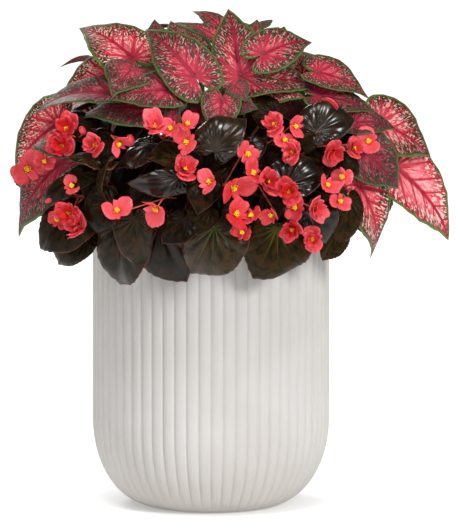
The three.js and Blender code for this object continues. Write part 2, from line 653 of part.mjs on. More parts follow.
FLOWER_SPRAYS.forEach((spray, i) => {
  const flowers = spray.map(([x, y, size], k) => {
    const n = 10 * i + k;
    return { middle: seenAt(x, y, FLOWER_LIFT + 16 * draw(n, 35)), size, n };
  });
  growSpray(flowers, TO_VIEWER);
});
for (let i = 0; i < BACK_SPRAYS.count; i++) {
  const bearing = BACK_SPRAYS.from + ((BACK_SPRAYS.to - BACK_SPRAYS.from) * i) / (BACK_SPRAYS.count - 1);
  const flowers = [];
  for (let k = 0; k < BACK_SPRAYS.flowers; k++) {
    const n = 200 + 10 * i + k;
    const height = BACK_SPRAYS.height + 12 * k;
    const middle = onMound(bearing + 9 * (k - 0.5) + 4 * draw(n, 36), height, FLOWER_LIFT);
    flowers.push({ middle, size: BACK_SPRAYS.size, n });
  }
  growSpray(flowers, null);
}

// ---------------------------------------------------------------- the whole
// Each plant gives way to the stalks of all the others, and to the blades and petals of those before it.
function bodyOf(plant, before, all) {
  const stalks = all.filter((other) => other !== plant).flatMap((other) => other.stalks);
  const blades = before.flatMap((other) => other.blades);
  const cut = plant.blades.map((one) => cutBy(one, [...stalks, ...blades]));
  const whole = Manifold.union([...plant.stalks.map((stalk) => stalk.solid), ...cut]);
  return largestBody(whole.simplify(SHORTEST_EDGE));
}

const MATERIALS = {
  pot: { color: 0xd9d5d0, roughness: 0.75 },
  soil: { color: 0x2b2019, roughness: 0.95 },
  begonia: { color: 0x2a211c, roughness: 0.3 },
  bloom: { color: 0xe8323a, roughness: 0.5 },
  caladium: { color: 0xa63348, roughness: 0.55 },
};

const group = new THREE.Group();
function add(name, kind, solid) {
  const mesh = new THREE.Mesh(
    geometryFrom(solid),
    new THREE.MeshStandardMaterial({ ...MATERIALS[kind], metalness: 0, flatShading: true }),
  );
  mesh.name = name;
  group.add(mesh);
}

add("planter", "pot", planter());
add("potting_soil", "soil", soil([...begonias, ...caladiums].map((plant) => plant.stalks[0].fat)));
const all = plants();
all.forEach((plant, i) => {
  const kind = blooms.includes(plant) ? "bloom" : begonias.includes(plant) ? "begonia" : "caladium";
  add(plant.name, kind, bodyOf(plant, all.slice(0, i), all));
});

export default group;
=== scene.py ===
"""A mixed house-plant pot: bronze-leaved begonias with red flowers round the front and the rim, and
heart-leaved caladiums rising from their tubers behind them, in a tall ribbed planter.
Shapes are worked out in millimetres, +Z up and -Y in front, and become meshes in metres."""

import math
from functools import partialmethod
from types import SimpleNamespace as Record

import bpy
import numpy as np
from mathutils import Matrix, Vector


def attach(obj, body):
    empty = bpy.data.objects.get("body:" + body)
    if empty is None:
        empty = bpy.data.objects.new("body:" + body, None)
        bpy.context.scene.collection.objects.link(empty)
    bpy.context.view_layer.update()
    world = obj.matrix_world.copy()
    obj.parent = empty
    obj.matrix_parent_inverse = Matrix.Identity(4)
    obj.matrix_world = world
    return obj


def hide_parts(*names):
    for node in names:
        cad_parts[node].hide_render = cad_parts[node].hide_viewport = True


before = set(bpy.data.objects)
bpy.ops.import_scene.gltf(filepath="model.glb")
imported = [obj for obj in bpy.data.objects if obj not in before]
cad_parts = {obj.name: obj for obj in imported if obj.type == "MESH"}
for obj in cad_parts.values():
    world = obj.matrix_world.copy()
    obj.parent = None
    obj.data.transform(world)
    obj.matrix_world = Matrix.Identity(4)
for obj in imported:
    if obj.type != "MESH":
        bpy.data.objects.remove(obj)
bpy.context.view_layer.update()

# ---------------- sizes
METRES = 0.001
POT_RADIUS, POT_HEIGHT, POT_WALL, POT_FLOOR = 200, 500, 15, 20
POT_INSIDE = POT_RADIUS - POT_WALL
CORNER_IN, CORNER_UP, RIM_BAND, LIP = 97, 145, 32, 3.5
RIBS, RIB_DEPTH, RIB_FADE, RIB_END, RIB_STEPS = 60, 4.5, 40, 6, 12
DRAIN_COUNT, DRAIN_RADIUS, DRAIN_CIRCLE = 4, 9, 62
SOIL_TOP, SOIL_DOME, GAP, CRUMBS = 468, 6, 0.4, 420
# The mound of foliage, an ellipsoid: its middle, its reach to the sides, the front, up and down, and the
# square of the height past which it narrows no more. Leaves below the rim stay clear of the pot.
MOUND = Record(x=18, waist=545, wide=350, deep=285, up=300, down=235, cap=0.96)
POT_ROOM = 26
# A blade faces out of the mound, to its given side and up, in these shares. STEEPEST bounds its slope to and
# from the viewer.
FACE_OUT, FACE_SIDE, FACE_UP, STEEPEST = 0.6, 0.5, 0.25, 0.6
BLADE_THICK, PETAL_THICK, STALK_SEAT = 0.9, 0.7, 6
# Stalks: their radius at the root and at the end, how many rings and how many sides, and how far they bow.
BEGONIA_STALKS, CALADIUM_STALKS = (2.4, 1.9, 12, 7), (3.4, 2.2, 22, 8)
FLOWER_STALKS, SIDE_STALKS = (2, 1.3, 16, 6), (1.4, 1.1, 10, 6)
BEGONIA_BOW, CALADIUM_BOW = 14, 26
TUBER_RADIUS, TUBER_HEIGHT, TUBER_ABOVE = 24, 48, 12
STEM = Record(count=12, circle=138, buried=38, rise=150, lean=50, radius=5.5, knuckles=5)
# How far below its leaf or flower a stalk leaves the stem, and how far behind a flower it turns to it.
LEAF_DROP, SPRAY_DROP, FLOWER_NECK, SIDE_NECK = 30, 40, 26, 9
FLOWER_REACH, STAMENS, STAMEN_HEIGHT, STAMEN_SIZE, KNOT_SIZE = 29, 16, 6, (1.35, 1.15, 2.3), (2.8, 2.8, 3.6)
KNOT_REACH, BUD_SIZE, FLOWER_LIFT = 4.4, 0.6, 34
# How much flowers are swayed and tilted by draws, and the turn from an inner petal or stamen to the next.
FLOWER_SWAY, FLOWER_TILT, SPIRAL_TURN = 3.4, 3, 2.4
# A petal's reach and width, how much it takes part in a flower's closing, and how far it is lifted.
WIDE_PETAL, NARROW_PETAL = (1, 1.1, 1.1, 0), (0.7, 0.5, 0.5, 1.2)

# The photograph: its scale, the pot's axis and foot in pixels, the tilt of the view and the frame.
MM_PER_PIXEL = 2 * POT_RADIUS / 236.5
AXIS_PIXEL, FOOT_PIXEL = 211, 501.5
VIEW_TILT = math.radians(9)
PHOTO_WIDE, PHOTO_HIGH = 460, 531
# The camera's sensor in millimetres, and in metres how far off it stands and how far the floor reaches.
SENSOR, CAMERA_AWAY, FLOOR_HALF = 36, 30, 30

# ---------------- what the photograph shows
# Leaves read one by one: the pixels of the foot, where the veins meet, and of the tip, how far the foot
# stands before the mound, how much further the tip does, the roll, the width, the side of a begonia leaf's
# larger half, and the tone.
# The tone is partly painted shade: leaves that stand in shade were given a low tone.
CALADIUM_LEAVES = [
    (96, 60, 60, 69, -60, 0, 74, 0.3, 1, 0.3),
    (134, 60, 80, 26, 0, -10, 18, 1.08, 1, 0.85),
    (112, 76, 58, 100, -30, 8, 0, 0.95, 1, 0.9),
    (112, 96, 35, 115, -10, 22, 34, 0.62, 1, 0.3),
    (134, 71, 113, 99, 34, 26, 0, 1.5, 1, 0.3),
    (196, 80, 146, 32, 26, 12, 0, 0.8, 1, 0.45),
    (171, 92, 110, 103, 18, 22, 8, 0.85, 1, 0.35),
    (154, 112, 80, 119, -32, 20, 24, 0.85, 1, 0.25),
    (60, 124, 18, 174, -60, -8, 0, 1.15, 1, 1),
    (62, 163, 19, 236, -30, -10, 14, 0.85, 1, 0.35),
    (64, 150, 33, 147, 12, 14, 30, 0.9, 1, 0.2),
    (158, 50, 155, 20, -60, -12, 10, 0.9, 1, 0.3),
    (190, 66, 171, 23, -30, -8, 0, 1.15, 1, 0.35),
    (218, 40, 175, 26, -72, 0, 22, 0.8, 1, 0.5),
    (224, 34, 193, 10, -85, -4, 10, 0.7, 1, 0.4),
    (240, 79, 228, 9, -6, -8, 0, 0.76, 1, 0.5),
    (252, 50, 257, 21, -86, -14, 0, 1.2, 1, 0.4),
    (276, 56, 284, 28, -95, -10, 0, 1.2, 1, 0.5),
    (262, 57, 312, 42, 46, 6, 0, 0.92, 1, 0.5),
    (251, 85, 322, 91, -16, 8, -26, 0.95, 1, 0.5),
    (250, 93, 306, 99, -14, 12, 0, 0.7, 1, 0.8),
    (222, 101, 217, 143, 14, -8, 0, 1.05, 1, 0.4),
    (236, 88, 247, 104, 18, 0, 0, 1.3, 1, 0.3),
    (234, 104, 258, 111, 6, 8, 20, 1.1, 1, 0.1),
    (317, 74, 370, 98, 24, 12, -14, 0.86, 1, 0.5),
    (300, 84, 303, 53, -26, -6, 0, 0.85, 1, 0.6),
    (318, 98, 375, 117, 6, 12, -22, 0.8, 1, 0.25),
    (352, 124, 395, 130, 16, 10, -18, 0.8, 1, 0.2),
    (378, 123, 429, 158, -34, 4, 0, 1.02, 1, 0.72),
    (394, 167, 449, 240, -66, 4, 0, 0.78, 1, 1.6),
    (360, 150, 399, 190, 6, 14, 10, 1, 1, 0.1),
    (358, 186, 374, 259, -24, 8, -26, 0.86, 1, 0.85),
    (173, 124, 174, 96, 2, 0, 0, 0.62, 1, 0.15),
    (199, 118, 197, 88, -30, 0, 0, 0.8, 1, 0.1),
]
BEGONIA_LEAVES = [
    (215, 153, 246, 121, 44, 8, 0, 1.15, 1, 0.45),
    (314, 134, 353, 121, 40, 10, 0, 1.05, 1, 0.45),
    (272, 119, 263, 94, 0, 0, 0, 1.2, 1, 0.3),
    (183, 161, 146, 158, 12, 8, 24, 1, -1, 0.7),
    (152, 145, 119, 169, -8, 14, 20, 1, 1, 0.2),
    (180, 179, 129, 184, 24, 10, -24, 0.62, 1, 0.15),
    (202, 180, 198, 215, 30, 14, 0, 1.1, 1, 0.35),
    (210, 211, 197, 236, 22, 12, 0, 1.2, -1, 0.4),
    (215, 227, 189, 278, 8, 6, 0, 1.08, 1, 0.9),
    (160, 226, 187, 281, -34, -4, 0, 0.88, -1, 0.3),
    (277, 228, 252, 281, 0, -2, 0, 1.1, 1, 0.85),
    (122, 224, 119, 288, -2, -6, 0, 0.84, 1, 0.5),
    (136, 219, 146, 271, 22, 6, 0, 0.7, -1, 0.5),
    (74, 212, 40, 249, 10, 4, 0, 0.95, 1, 0.4),
    (90, 236, 54, 267, -16, -4, 0, 0.85, -1, 0.4),
    (82, 174, 40, 202, 26, 8, 0, 0.5, 1, 0.45),
    (98, 164, 70, 158, 36, 8, 50, 0.9, 1, 0.6),
    (90, 128, 62, 114, -20, 0, 0, 0.9, 1, 0.2),
    (106, 168, 104, 206, 22, 10, 56, 0.9, 1, 0.75),
    (114, 204, 97, 236, 16, 4, 0, 1.1, -1, 0.3),
    (244, 152, 267, 142, 8, 8, 0, 1.15, -1, 0.3),
    (284, 187, 330, 171, 14, 6, 0, 0.95, 1, 0.2),
    (347, 199, 340, 247, 2, 4, 0, 0.95, -1, 0.6),
    (334, 232, 321, 261, -12, 0, 0, 0.9, 1, 0.7),
    (306, 212, 326, 244, 6, 4, 0, 1.15, 1, 0.2),
    (304, 150, 319, 136, 30, 8, 30, 1.1, 1, 0.4),
    (204, 178, 234, 160, 4, 8, 0, 1, 1, 0.2),
    (186, 218, 163, 243, 22, 8, 0, 1, 1, 0.2),
    (112, 146, 92, 132, -34, 4, 0, 1.1, 1, 0.3),
    (96, 168, 88, 204, 4, 4, 0, 0.9, 1, 0.3),
    (152, 188, 133, 207, 6, 8, 0, 1.1, -1, 0.4),
    (330, 164, 362, 173, 2, 6, 0, 0.9, 1, 0.3),
    (262, 166, 288, 152, -4, 6, 0, 1, 1, 0.25),
    (238, 208, 222, 232, 14, 8, 0, 1.1, 1, 0.35),
    (270, 200, 262, 226, -6, 8, 0, 1.1, 1, 0.3),
]
# Begonia leaves that are glossier than the others, by their row, and how much.
SHINING = {0: 1, 1: 1, 4: 1, 5: 1, 16: 0.6, 20: 0.6, 21: 1, 24: 0.6, 11: 0.3, 8: 0.4, 12: 0.3, 9: 0.4}
# Sprays of flowers: the pixel of each flower's middle, and its size.
FLOWER_SPRAYS = [
    [[68, 131, 0.98], [64, 147, 1], [84, 132, 0.5], [98, 147, 0.85]],
    [[29, 170, 1.25], [46, 163, 0.7]],
    [[74, 188, 0.75], [71, 214, 0.95], [60, 220, 0.7], [82, 229, 1], [51, 201, 0.45]],
    [[119, 144, 0.75], [132, 141, 0.55]],
    [[157, 129, 0.95], [173, 131, 0.8], [187, 127, 0.8], [188, 144, 1]],
    [[185, 172, 1.05]],
    [[158, 208, 1.1], [118, 212, 0.95]],
    [[211, 183, 0.9], [233, 188, 1.25], [251, 175, 0.85], [246, 155, 0.95]],
    [[235, 215, 1.05], [252, 217, 0.7], [243, 233, 0.7]],
    [[266, 183, 1], [272, 215, 0.75]],
    [[288, 193, 0.95], [295, 208, 0.85], [312, 208, 0.9], [293, 229, 0.85], [312, 238, 0.85]],
    [[275, 128, 0.95], [293, 128, 0.75], [283, 143, 0.8], [293, 153, 0.8]],
    [[330, 152, 0.95], [351, 151, 0.8], [367, 143, 0.95]],
    [[342, 178, 0.85], [325, 187, 0.75], [338, 203, 0.75]],
    [[322, 108, 0.85]],
]
# Rows of leaves for the hidden side and for the depth of the mound: the kind that their draws go by, how
# many, the bearings from and to, the height on the mound, the length, and how far they stand out, with angles
# in degrees.
CALADIUM_ROWS = [(0, 6, 122, 252, 20, 125, 14), (1, 4, 150, 232, 42, 120, 0), (2, 3, 162, 226, 60, 115, -6),
                 (3, 2, 150, 230, 76, 110, -14), (4, 2, 90, 106, 34, 120, -50),
                 (5, 2, 262, 276, 34, 120, -36)]
BEGONIA_ROWS = [(5, 7, 86, 278, 8, 84, 2), (6, 6, 122, 238, -9, 88, 0)]
INNER_BEGONIAS = [(7, 9, -68, 64, 4, 95, -56), (8, 9, -76, 72, 22, 105, -62), (9, 6, -64, 62, 42, 110, -62),
                  (13, 6, -56, 56, 32, 120, -100)]
INNER_CALADIUMS = [(10, 9, 70, 284, 28, 115, -62), (11, 8, 20, 300, 54, 110, -66),
                   (12, 4, 45, 300, 74, 90, -60)]
BACK_SPRAYS = Record(count=4, start=128, end=230, height=-2, flowers=2, size=0.95, beside=9, above=12)
# Where the caladium tubers stand: the bearing, and how far from the pot's axis.
TUBERS = [(0, 22), (282, 90), (78, 90), (215, 94), (145, 94)]

# Leaves deep in the mound get a low tone, which is painted shade for the shade they stand in.
INNER_KIND, INNER_SHADE_TONE = 7, 0.1  # rows from this kind on are deep in the mound, and dark
FAN = 24  # degrees between a begonia leaf's veins

# Outlines about the foot: degrees from the tip's direction, and the reach there in leaf lengths.
CALADIUM_OUTLINE = [(0, 1), (4, .9), (10, .79), (18, .7), (28, .63), (38, .58), (52, .52), (68, .47),
                    (85, .445), (100, .42), (118, .395), (135, .355), (150, .29), (162, .2), (171, .09)]
BEGONIA_LARGE_HALF = [(0, 1), (4, .95), (10, .89), (18, .84), (27, .785), (36, .735), (50, .665), (65, .61),
                      (80, .57), (100, .51), (118, .45), (135, .38), (150, .28), (163, .14)]
BEGONIA_SMALL_HALF = [(0, 1), (4, .93), (10, .83), (18, .73), (26, .64), (34, .57), (45, .49), (60, .4),
                      (75, .34), (95, .29), (115, .25), (132, .21), (148, .14), (160, .07)]
# The angles at which a caladium's outline has points, closer where it turns more, and the rings of any blade.
CALADIUM_ANGLES = [0, 2, 5, 9, 14, 19, 25, 31, 38, 46, 55, 64, 74, 84, 95, 106, 117, 128, 138, 147, 155, 162,
                   168, 171]
BLADE_RINGS = np.linspace(0, 1, 15) ** 0.85
PETAL_ANGLES, PETAL_RINGS = np.linspace(-84, 84, 21), np.linspace(0, 1, 9)


# ---------------- small maths
def vec(x, y, z):
    """A point or a direction."""
    return np.array([x, y, z], float)


def unit(v):
    """Vectors divided by their lengths."""
    return v / np.maximum(np.linalg.norm(v, axis=-1, keepdims=True), 1e-12)


def draw(n, kind):
    """A repeatable number from 0 to 1 for the n-th draw of a kind: the fraction of a large sine."""
    s = np.sin(n * 12.9898 + kind * 78.233) * 43758.5453
    return s - np.floor(s)


TO_VIEWER = vec(0, -math.cos(VIEW_TILT), math.sin(VIEW_TILT))


def tall(height):
    """How far the mound reaches from its waist, on the side of a height above or below it."""
    return MOUND.up if height > 0 else MOUND.down


def mound_depth(x, z):
    """How far the mound's front stands before the pot's axis: an ellipse across, shrunk by one in height."""
    level = (z - MOUND.waist) / tall(z - MOUND.waist)
    share = math.sqrt(1 - min(level * level, MOUND.cap))
    across = (x - MOUND.x) / (MOUND.wide * share)
    return MOUND.deep * share * math.sqrt(max(0, 1 - across * across))


def out_of(p):
    """The direction straight out of the mound at a point: the gradient of its ellipsoid."""
    height = p[2] - MOUND.waist
    across = (p[0] - MOUND.x) / MOUND.wide ** 2
    return unit(vec(across, p[1] / MOUND.deep ** 2, height / tall(height) ** 2))


def seen_at(pixel_x, pixel_y, nearer):
    """The point where a pixel's line of sight meets the mound's front, brought nearer to the viewer. Its
    height and its depth are found in turns, each from the other."""
    x = (pixel_x - AXIS_PIXEL) * MM_PER_PIXEL
    rise = (FOOT_PIXEL - pixel_y) * MM_PER_PIXEL
    z = rise / math.cos(VIEW_TILT)
    for _ in range(8):
        y = -mound_depth(x, z)
        z = (rise - y * math.sin(VIEW_TILT)) / math.cos(VIEW_TILT)
    return vec(x, y, z) + TO_VIEWER * nearer


def around(bearing, out, z):
    """The point at a bearing from the front, in degrees, at a distance from the pot's axis and a height."""
    return vec(out * math.sin(math.radians(bearing)), -out * math.cos(math.radians(bearing)), z)


def on_mound(bearing, height, out):
    """The mound's point at a bearing and a height, in degrees, brought straight out by a distance. From just
    above the rim down, it is moved away from the axis as far as it needs to be clear of the pot."""
    b, h = math.radians(bearing), math.radians(height)
    p = vec(MOUND.x + MOUND.wide * math.sin(b) * math.cos(h), -MOUND.deep * math.cos(b) * math.cos(h),
            MOUND.waist + tall(height) * math.sin(h))
    p = p + out_of(p) * out
    wider = max(1, (POT_RADIUS + POT_ROOM) / math.hypot(p[0], p[1]))
    return p * (wider, wider, 1) if p[2] < POT_HEIGHT + POT_ROOM else p


def turned(v, axis, angle):
    """A vector square to a unit axis, turned about it: the vector times the cosine, plus the axis crossed
    with it times the sine."""
    return v * math.cos(angle) + np.cross(axis, v) * math.sin(angle)


def blade_axes(leaf):
    """A blade's axes and length: along the midrib, across it, and out of its upper face, which looks between
    straight out of the mound, upwards and the leaf's given side, rolled about the midrib."""
    along = leaf.tip - leaf.foot
    length = float(np.linalg.norm(along))
    along = along / length
    under = out_of(leaf.foot + (leaf.tip - leaf.foot) * 0.4)
    up = under * FACE_OUT + leaf.side * FACE_SIDE + vec(0, 0, FACE_UP)
    up = turned(unit(up - along * up.dot(along)), along, math.radians(leaf.roll))
    return along, np.cross(up, along), up, length


def cubic(t, start, start_slope, end, end_slope):
    """A cubic from a start to an end as t goes from 0 to 1, with these slopes there."""
    return (start * (1 + 2 * t) * (1 - t) ** 2 + start_slope * t * (1 - t) ** 2
            + end * t * t * (3 - 2 * t) + end_slope * t * t * (t - 1))


def smooth_curve(at, knots):
    """A curve through (place, value) knots, read at places: cubics, with the slopes of the chords across."""
    x, y = np.array(knots, float).T
    slope = np.gradient(y, x)
    i = np.clip(np.searchsorted(x, at, side="right") - 1, 0, len(x) - 2)
    span = x[i + 1] - x[i]
    return cubic((at - x[i]) / span, y[i], slope[i] * span, y[i + 1], slope[i + 1] * span)


def smooth_path(points, steps):
    """A path through points: a cubic on each span, whose slope at a point is half the chord across it."""
    points = np.array(points, float)
    slope = np.gradient(points, axis=0)
    at = np.linspace(0, len(points) - 1, steps)
    i = np.minimum(at.astype(int), len(points) - 2)
    return cubic((at - i)[:, None], points[i], slope[i], points[i + 1], slope[i + 1])


def bumps(p, size):
    """Roughness from about -1 to 1 at points: 1.6 times the mean of seven sines that run in different
    directions, with wavelengths near the size."""
    k = np.arange(7)
    way = unit(np.stack([draw(k, 51) - 0.5, draw(k, 52) - 0.5, draw(k, 53) - 0.5], axis=-1))
    wave = np.sin(p @ way.T * (2 * math.pi / (size * (0.7 + 0.9 * draw(k, 54)))) + 6 * draw(k, 55))
    return wave.mean(axis=-1) * 1.6


# ---------------- surfaces
# A surface is a record: its points, its faces, its material's number, and what its points carry: two maps
# and some numbers. A face is a row of four corners, and the last one is -1 in a triangle.
MAPS = ("leaf", "veins")


def surface(points, faces, finish=0, **carried):
    """One surface's record."""
    return Record(points=points, faces=faces, finish=finish, carried=carried)


def grid_faces(ids):
    """The faces between the neighbouring points of a grid, given by their numbers. A quad with two equal
    corners, at a pole, becomes a triangle."""
    quads = np.stack([ids[:-1, :-1], ids[:-1, 1:], ids[1:, 1:], ids[1:, :-1]], axis=-1).reshape(-1, 4)
    for k in range(4):
        same = quads[:, k] == quads[:, (k + 1) % 4]
        quads[same] = np.roll(quads[same], 3 - k, axis=1)
        quads[same, 3] = -1
    return quads


def fan_sheet(angles, radii, outline, width, height, thickness, place, **carried):
    """A thin closed sheet shaped like a leaf or petal. Its point at an angle and a share r lies at r times
    the outline's reach, at that angle about the foot, widened; the height there is given by a function of x,
    y and r, and the under face lies a thickness lower, and half of it at the edge. The foot is one point of
    each face, and a wall joins the faces. Its points carry x and y, r as the edge, how far inwards they are,
    square to the edge, and which face they are on."""
    a, r = np.meshgrid(np.radians(angles), radii, indexing="ij")
    reach = outline(angles)
    square = reach / np.hypot(reach, np.gradient(reach, np.radians(angles)))
    inwards = (reach * square)[:, None] * (1 - r)
    reach = reach[:, None] * r
    x, y = reach * np.cos(a), reach * np.sin(a) * width
    top = np.stack([x, y, height(x, y, r)], axis=-1)
    under = top - np.stack([0 * x, 0 * x, thickness * (1 - 0.5 * r ** 3)], axis=-1)
    count = 1 + x[:, 1:].size
    ids = np.zeros(x.shape, int)
    ids[:, 1:] = 1 + np.arange(count - 1).reshape(x[:, 1:].shape)
    loop = np.concatenate([ids[:, -1], ids[-1, -2:0:-1], [0], ids[0, 1:-1]])
    wall = np.stack([np.append(loop, loop[0]), np.append(loop, loop[0]) + count])
    faces = np.concatenate([grid_faces(ids), grid_faces(ids[::-1] + count), grid_faces(wall.T)])

    def flat(value):
        return np.concatenate([value[0, :1], value[:, 1:].reshape(-1, *value.shape[2:])])

    carried.update(edge=r, inwards=inwards)
    carried = {key: np.tile(flat(value + 0 * x), 2) for key, value in carried.items()}
    carried.update(under=np.repeat([0.0, 1.0], count), leaf=np.tile(flat(top[..., :2]), (2, 1)))
    return surface(place(np.concatenate([flat(top), flat(under)])), faces, **carried)


def closed_rings(points, sides, finish, carried, order=1):
    """The surface over a pole, rings of so many points and another pole, all in a row. What it carries is the
    same at every point, and an order of -1 turns its faces round."""
    rings = 1 + np.arange(len(points) - 2).reshape(-1, sides)
    ids = np.concatenate([np.zeros((1, sides), int), rings, np.full((1, sides), len(points) - 1)])
    faces = grid_faces(np.concatenate([ids, ids[:, :1]], axis=1)[::order])
    carried = {key: np.full(len(points), value) for key, value in carried.items()}
    return surface(points, faces, finish, **carried)


def tube(path, radius, sides, finish=0):
    """A round bar along a path: a ring of points square to the path at each of its points, closed at both
    ends. Each ring starts at the side of a fixed direction that lies well across the path."""
    path = np.asarray(path, float)
    way = unit(np.gradient(path, axis=0))
    least = np.eye(3)[np.abs(way.mean(axis=0)).argmin()]
    side = unit(np.cross(way, least))
    other = np.cross(way, side)
    a = np.arange(sides) * 2 * math.pi / sides
    ring = side[:, None] * np.cos(a)[:, None] + other[:, None] * np.sin(a)[:, None]
    rings = path[:, None] + ring * np.broadcast_to(radius, len(path))[:, None, None]
    return closed_rings(np.concatenate([path[:1], rings.reshape(-1, 3), path[-1:]]), sides, finish, {})


def stalk(route, size, finish):
    """A round stalk along a smooth route, which tapers evenly."""
    thick, thin, rings, sides = size
    return tube(smooth_path(route, rings), np.linspace(thick, thin, rings), sides, finish)


def lump(middle, axes, sizes, sides, rings, finish=0, rough=0.0, **carried):
    """A closed egg: a ball's rings from pole to pole, stretched to a size along each of three axes, with each
    point moved in or out by a rough share of its distance from the middle."""
    u = np.linspace(0, math.pi, rings + 1)[1:-1, None]
    v = np.arange(sides) * 2 * math.pi / sides
    ball = np.stack([np.sin(u) * np.cos(v), np.sin(u) * np.sin(v), np.cos(u) + 0 * v], axis=-1).reshape(-1, 3)
    ball = np.concatenate([[[0, 0, 1]], ball, [[0, 0, -1]]])
    points = middle + (ball * sizes) @ np.array(axes)
    points = points + (points - middle) * (rough * bumps(points, 0.7 * max(sizes)))[:, None]
    return closed_rings(points, sides, finish, carried, -1)


def revolved(profile, sides, drawn_in=None):
    """A closed solid of revolution about the pot's axis, from a profile of (radius, height) that starts and
    ends on the axis. A function of the angle and the profile's points tells how far its points are drawn
    inwards."""
    profile = np.array(profile, float)
    a = np.arange(sides)[:, None] * 2 * math.pi / sides
    radius = profile[None, 1:-1, 0] - (drawn_in(a, profile[1:-1]) if drawn_in else 0 * a)
    height = profile[None, 1:-1, 1] + 0 * radius
    rings = np.stack([radius * np.sin(a), -radius * np.cos(a), height], axis=-1)
    poles = [[0, 0, profile[0, 1]], [0, 0, profile[-1, 1]]]
    points = np.concatenate([rings.reshape(-1, 3), poles])
    ids = np.arange(rings[..., 0].size).reshape(sides, -1)
    pole = np.full((sides, 1), len(points) - 2)
    ids = np.concatenate([pole, ids, pole + 1], axis=1)
    return surface(points, grid_faces(np.concatenate([ids, ids[:1]])[::-1]))


def put(name, data):
    """An object of the scene, at the origin, that shows a mesh, lamp or camera."""
    thing = bpy.data.objects.new(name, data)
    bpy.context.scene.collection.objects.link(thing)
    return thing


def make_piece(name, surfaces, finishes, node):
    """One Blender object from surfaces, in metres, that stands for a CAD node."""
    points = np.concatenate([s.points for s in surfaces]) * METRES
    starts = np.cumsum([0] + [len(s.points) for s in surfaces[:-1]])
    faces = np.concatenate([np.where(s.faces < 0, -1, s.faces + at) for s, at in zip(surfaces, starts)])
    corners = faces[faces >= 0]
    sizes = (faces >= 0).sum(axis=1)
    mesh = bpy.data.meshes.new(name)
    mesh.vertices.add(len(points))
    mesh.vertices.foreach_set("co", points.ravel())
    mesh.loops.add(len(corners))
    mesh.loops.foreach_set("vertex_index", corners)
    mesh.polygons.add(len(faces))
    mesh.polygons.foreach_set("loop_start", np.cumsum(sizes) - sizes)
    mesh.polygons.foreach_set("loop_total", sizes)
    mesh.polygons.foreach_set("use_smooth", np.ones(len(faces), bool))
    worn = np.concatenate([np.full(len(s.faces), s.finish) for s in surfaces])
    mesh.polygons.foreach_set("material_index", worn)
    for key in sorted({key for s in surfaces for key in s.carried}):
        more = (2,) if key in MAPS else ()
        value = np.concatenate([s.carried.get(key, np.zeros((len(s.points), *more))) for s in surfaces])
        if key in MAPS:
            mesh.uv_layers.new(name=key).data.foreach_set("uv", value[corners].ravel().astype(np.float32))
        else:
            mesh.attributes.new(key, "FLOAT", "POINT").data.foreach_set("value", value.astype(np.float32))
    mesh.update(calc_edges=True)
    mesh.validate()
    for finish in finishes:
        mesh.materials.append(finish)
    piece = put(name, mesh)
    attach(piece, "root")
    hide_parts(node)
    return piece


# ---------------- finishes
def shade(red, green, blue):
    """A colour as a screen shows it, from 0 to 255 a channel, made linear."""
    c = np.array([red, green, blue]) / 255
    return (*np.where(c > 0.04045, ((c + 0.055) / 1.055) ** 2.4, c / 12.92).tolist(), 1.0)


class Signal:
    """A socket in a finish's node tree. Arithmetic on it adds Math nodes."""

    def __init__(self, finish, socket):
        self.finish = finish
        self.socket = socket

    def math(self, operation, *others):
        """A Math node on this value and others, in that order."""
        return self.finish.node("ShaderNodeMath", {"operation": operation}, [self, *others])

    __add__ = __radd__ = partialmethod(math, "ADD")
    __sub__ = partialmethod(math, "SUBTRACT")
    __rsub__ = partialmethod(math, "MULTIPLY_ADD", -1.0)
    __mul__ = __rmul__ = partialmethod(math, "MULTIPLY")
    __truediv__ = partialmethod(math, "DIVIDE")
    __abs__ = partialmethod(math, "ABSOLUTE")

    def rise(self, low, high):
        """0 below low, 1 above high and a smooth step between. With low over high it falls instead."""
        if low > high:
            return 1 - self.rise(high, low)
        inputs = {"Value": self, "From Min": low, "From Max": high}
        return self.finish.node("ShaderNodeMapRange", {"interpolation_type": "SMOOTHSTEP"}, inputs)

    def nearest(self):
        """How far the value is from the nearest whole number."""
        return abs(self.math("FRACT") - 0.5) * -1 + 0.5


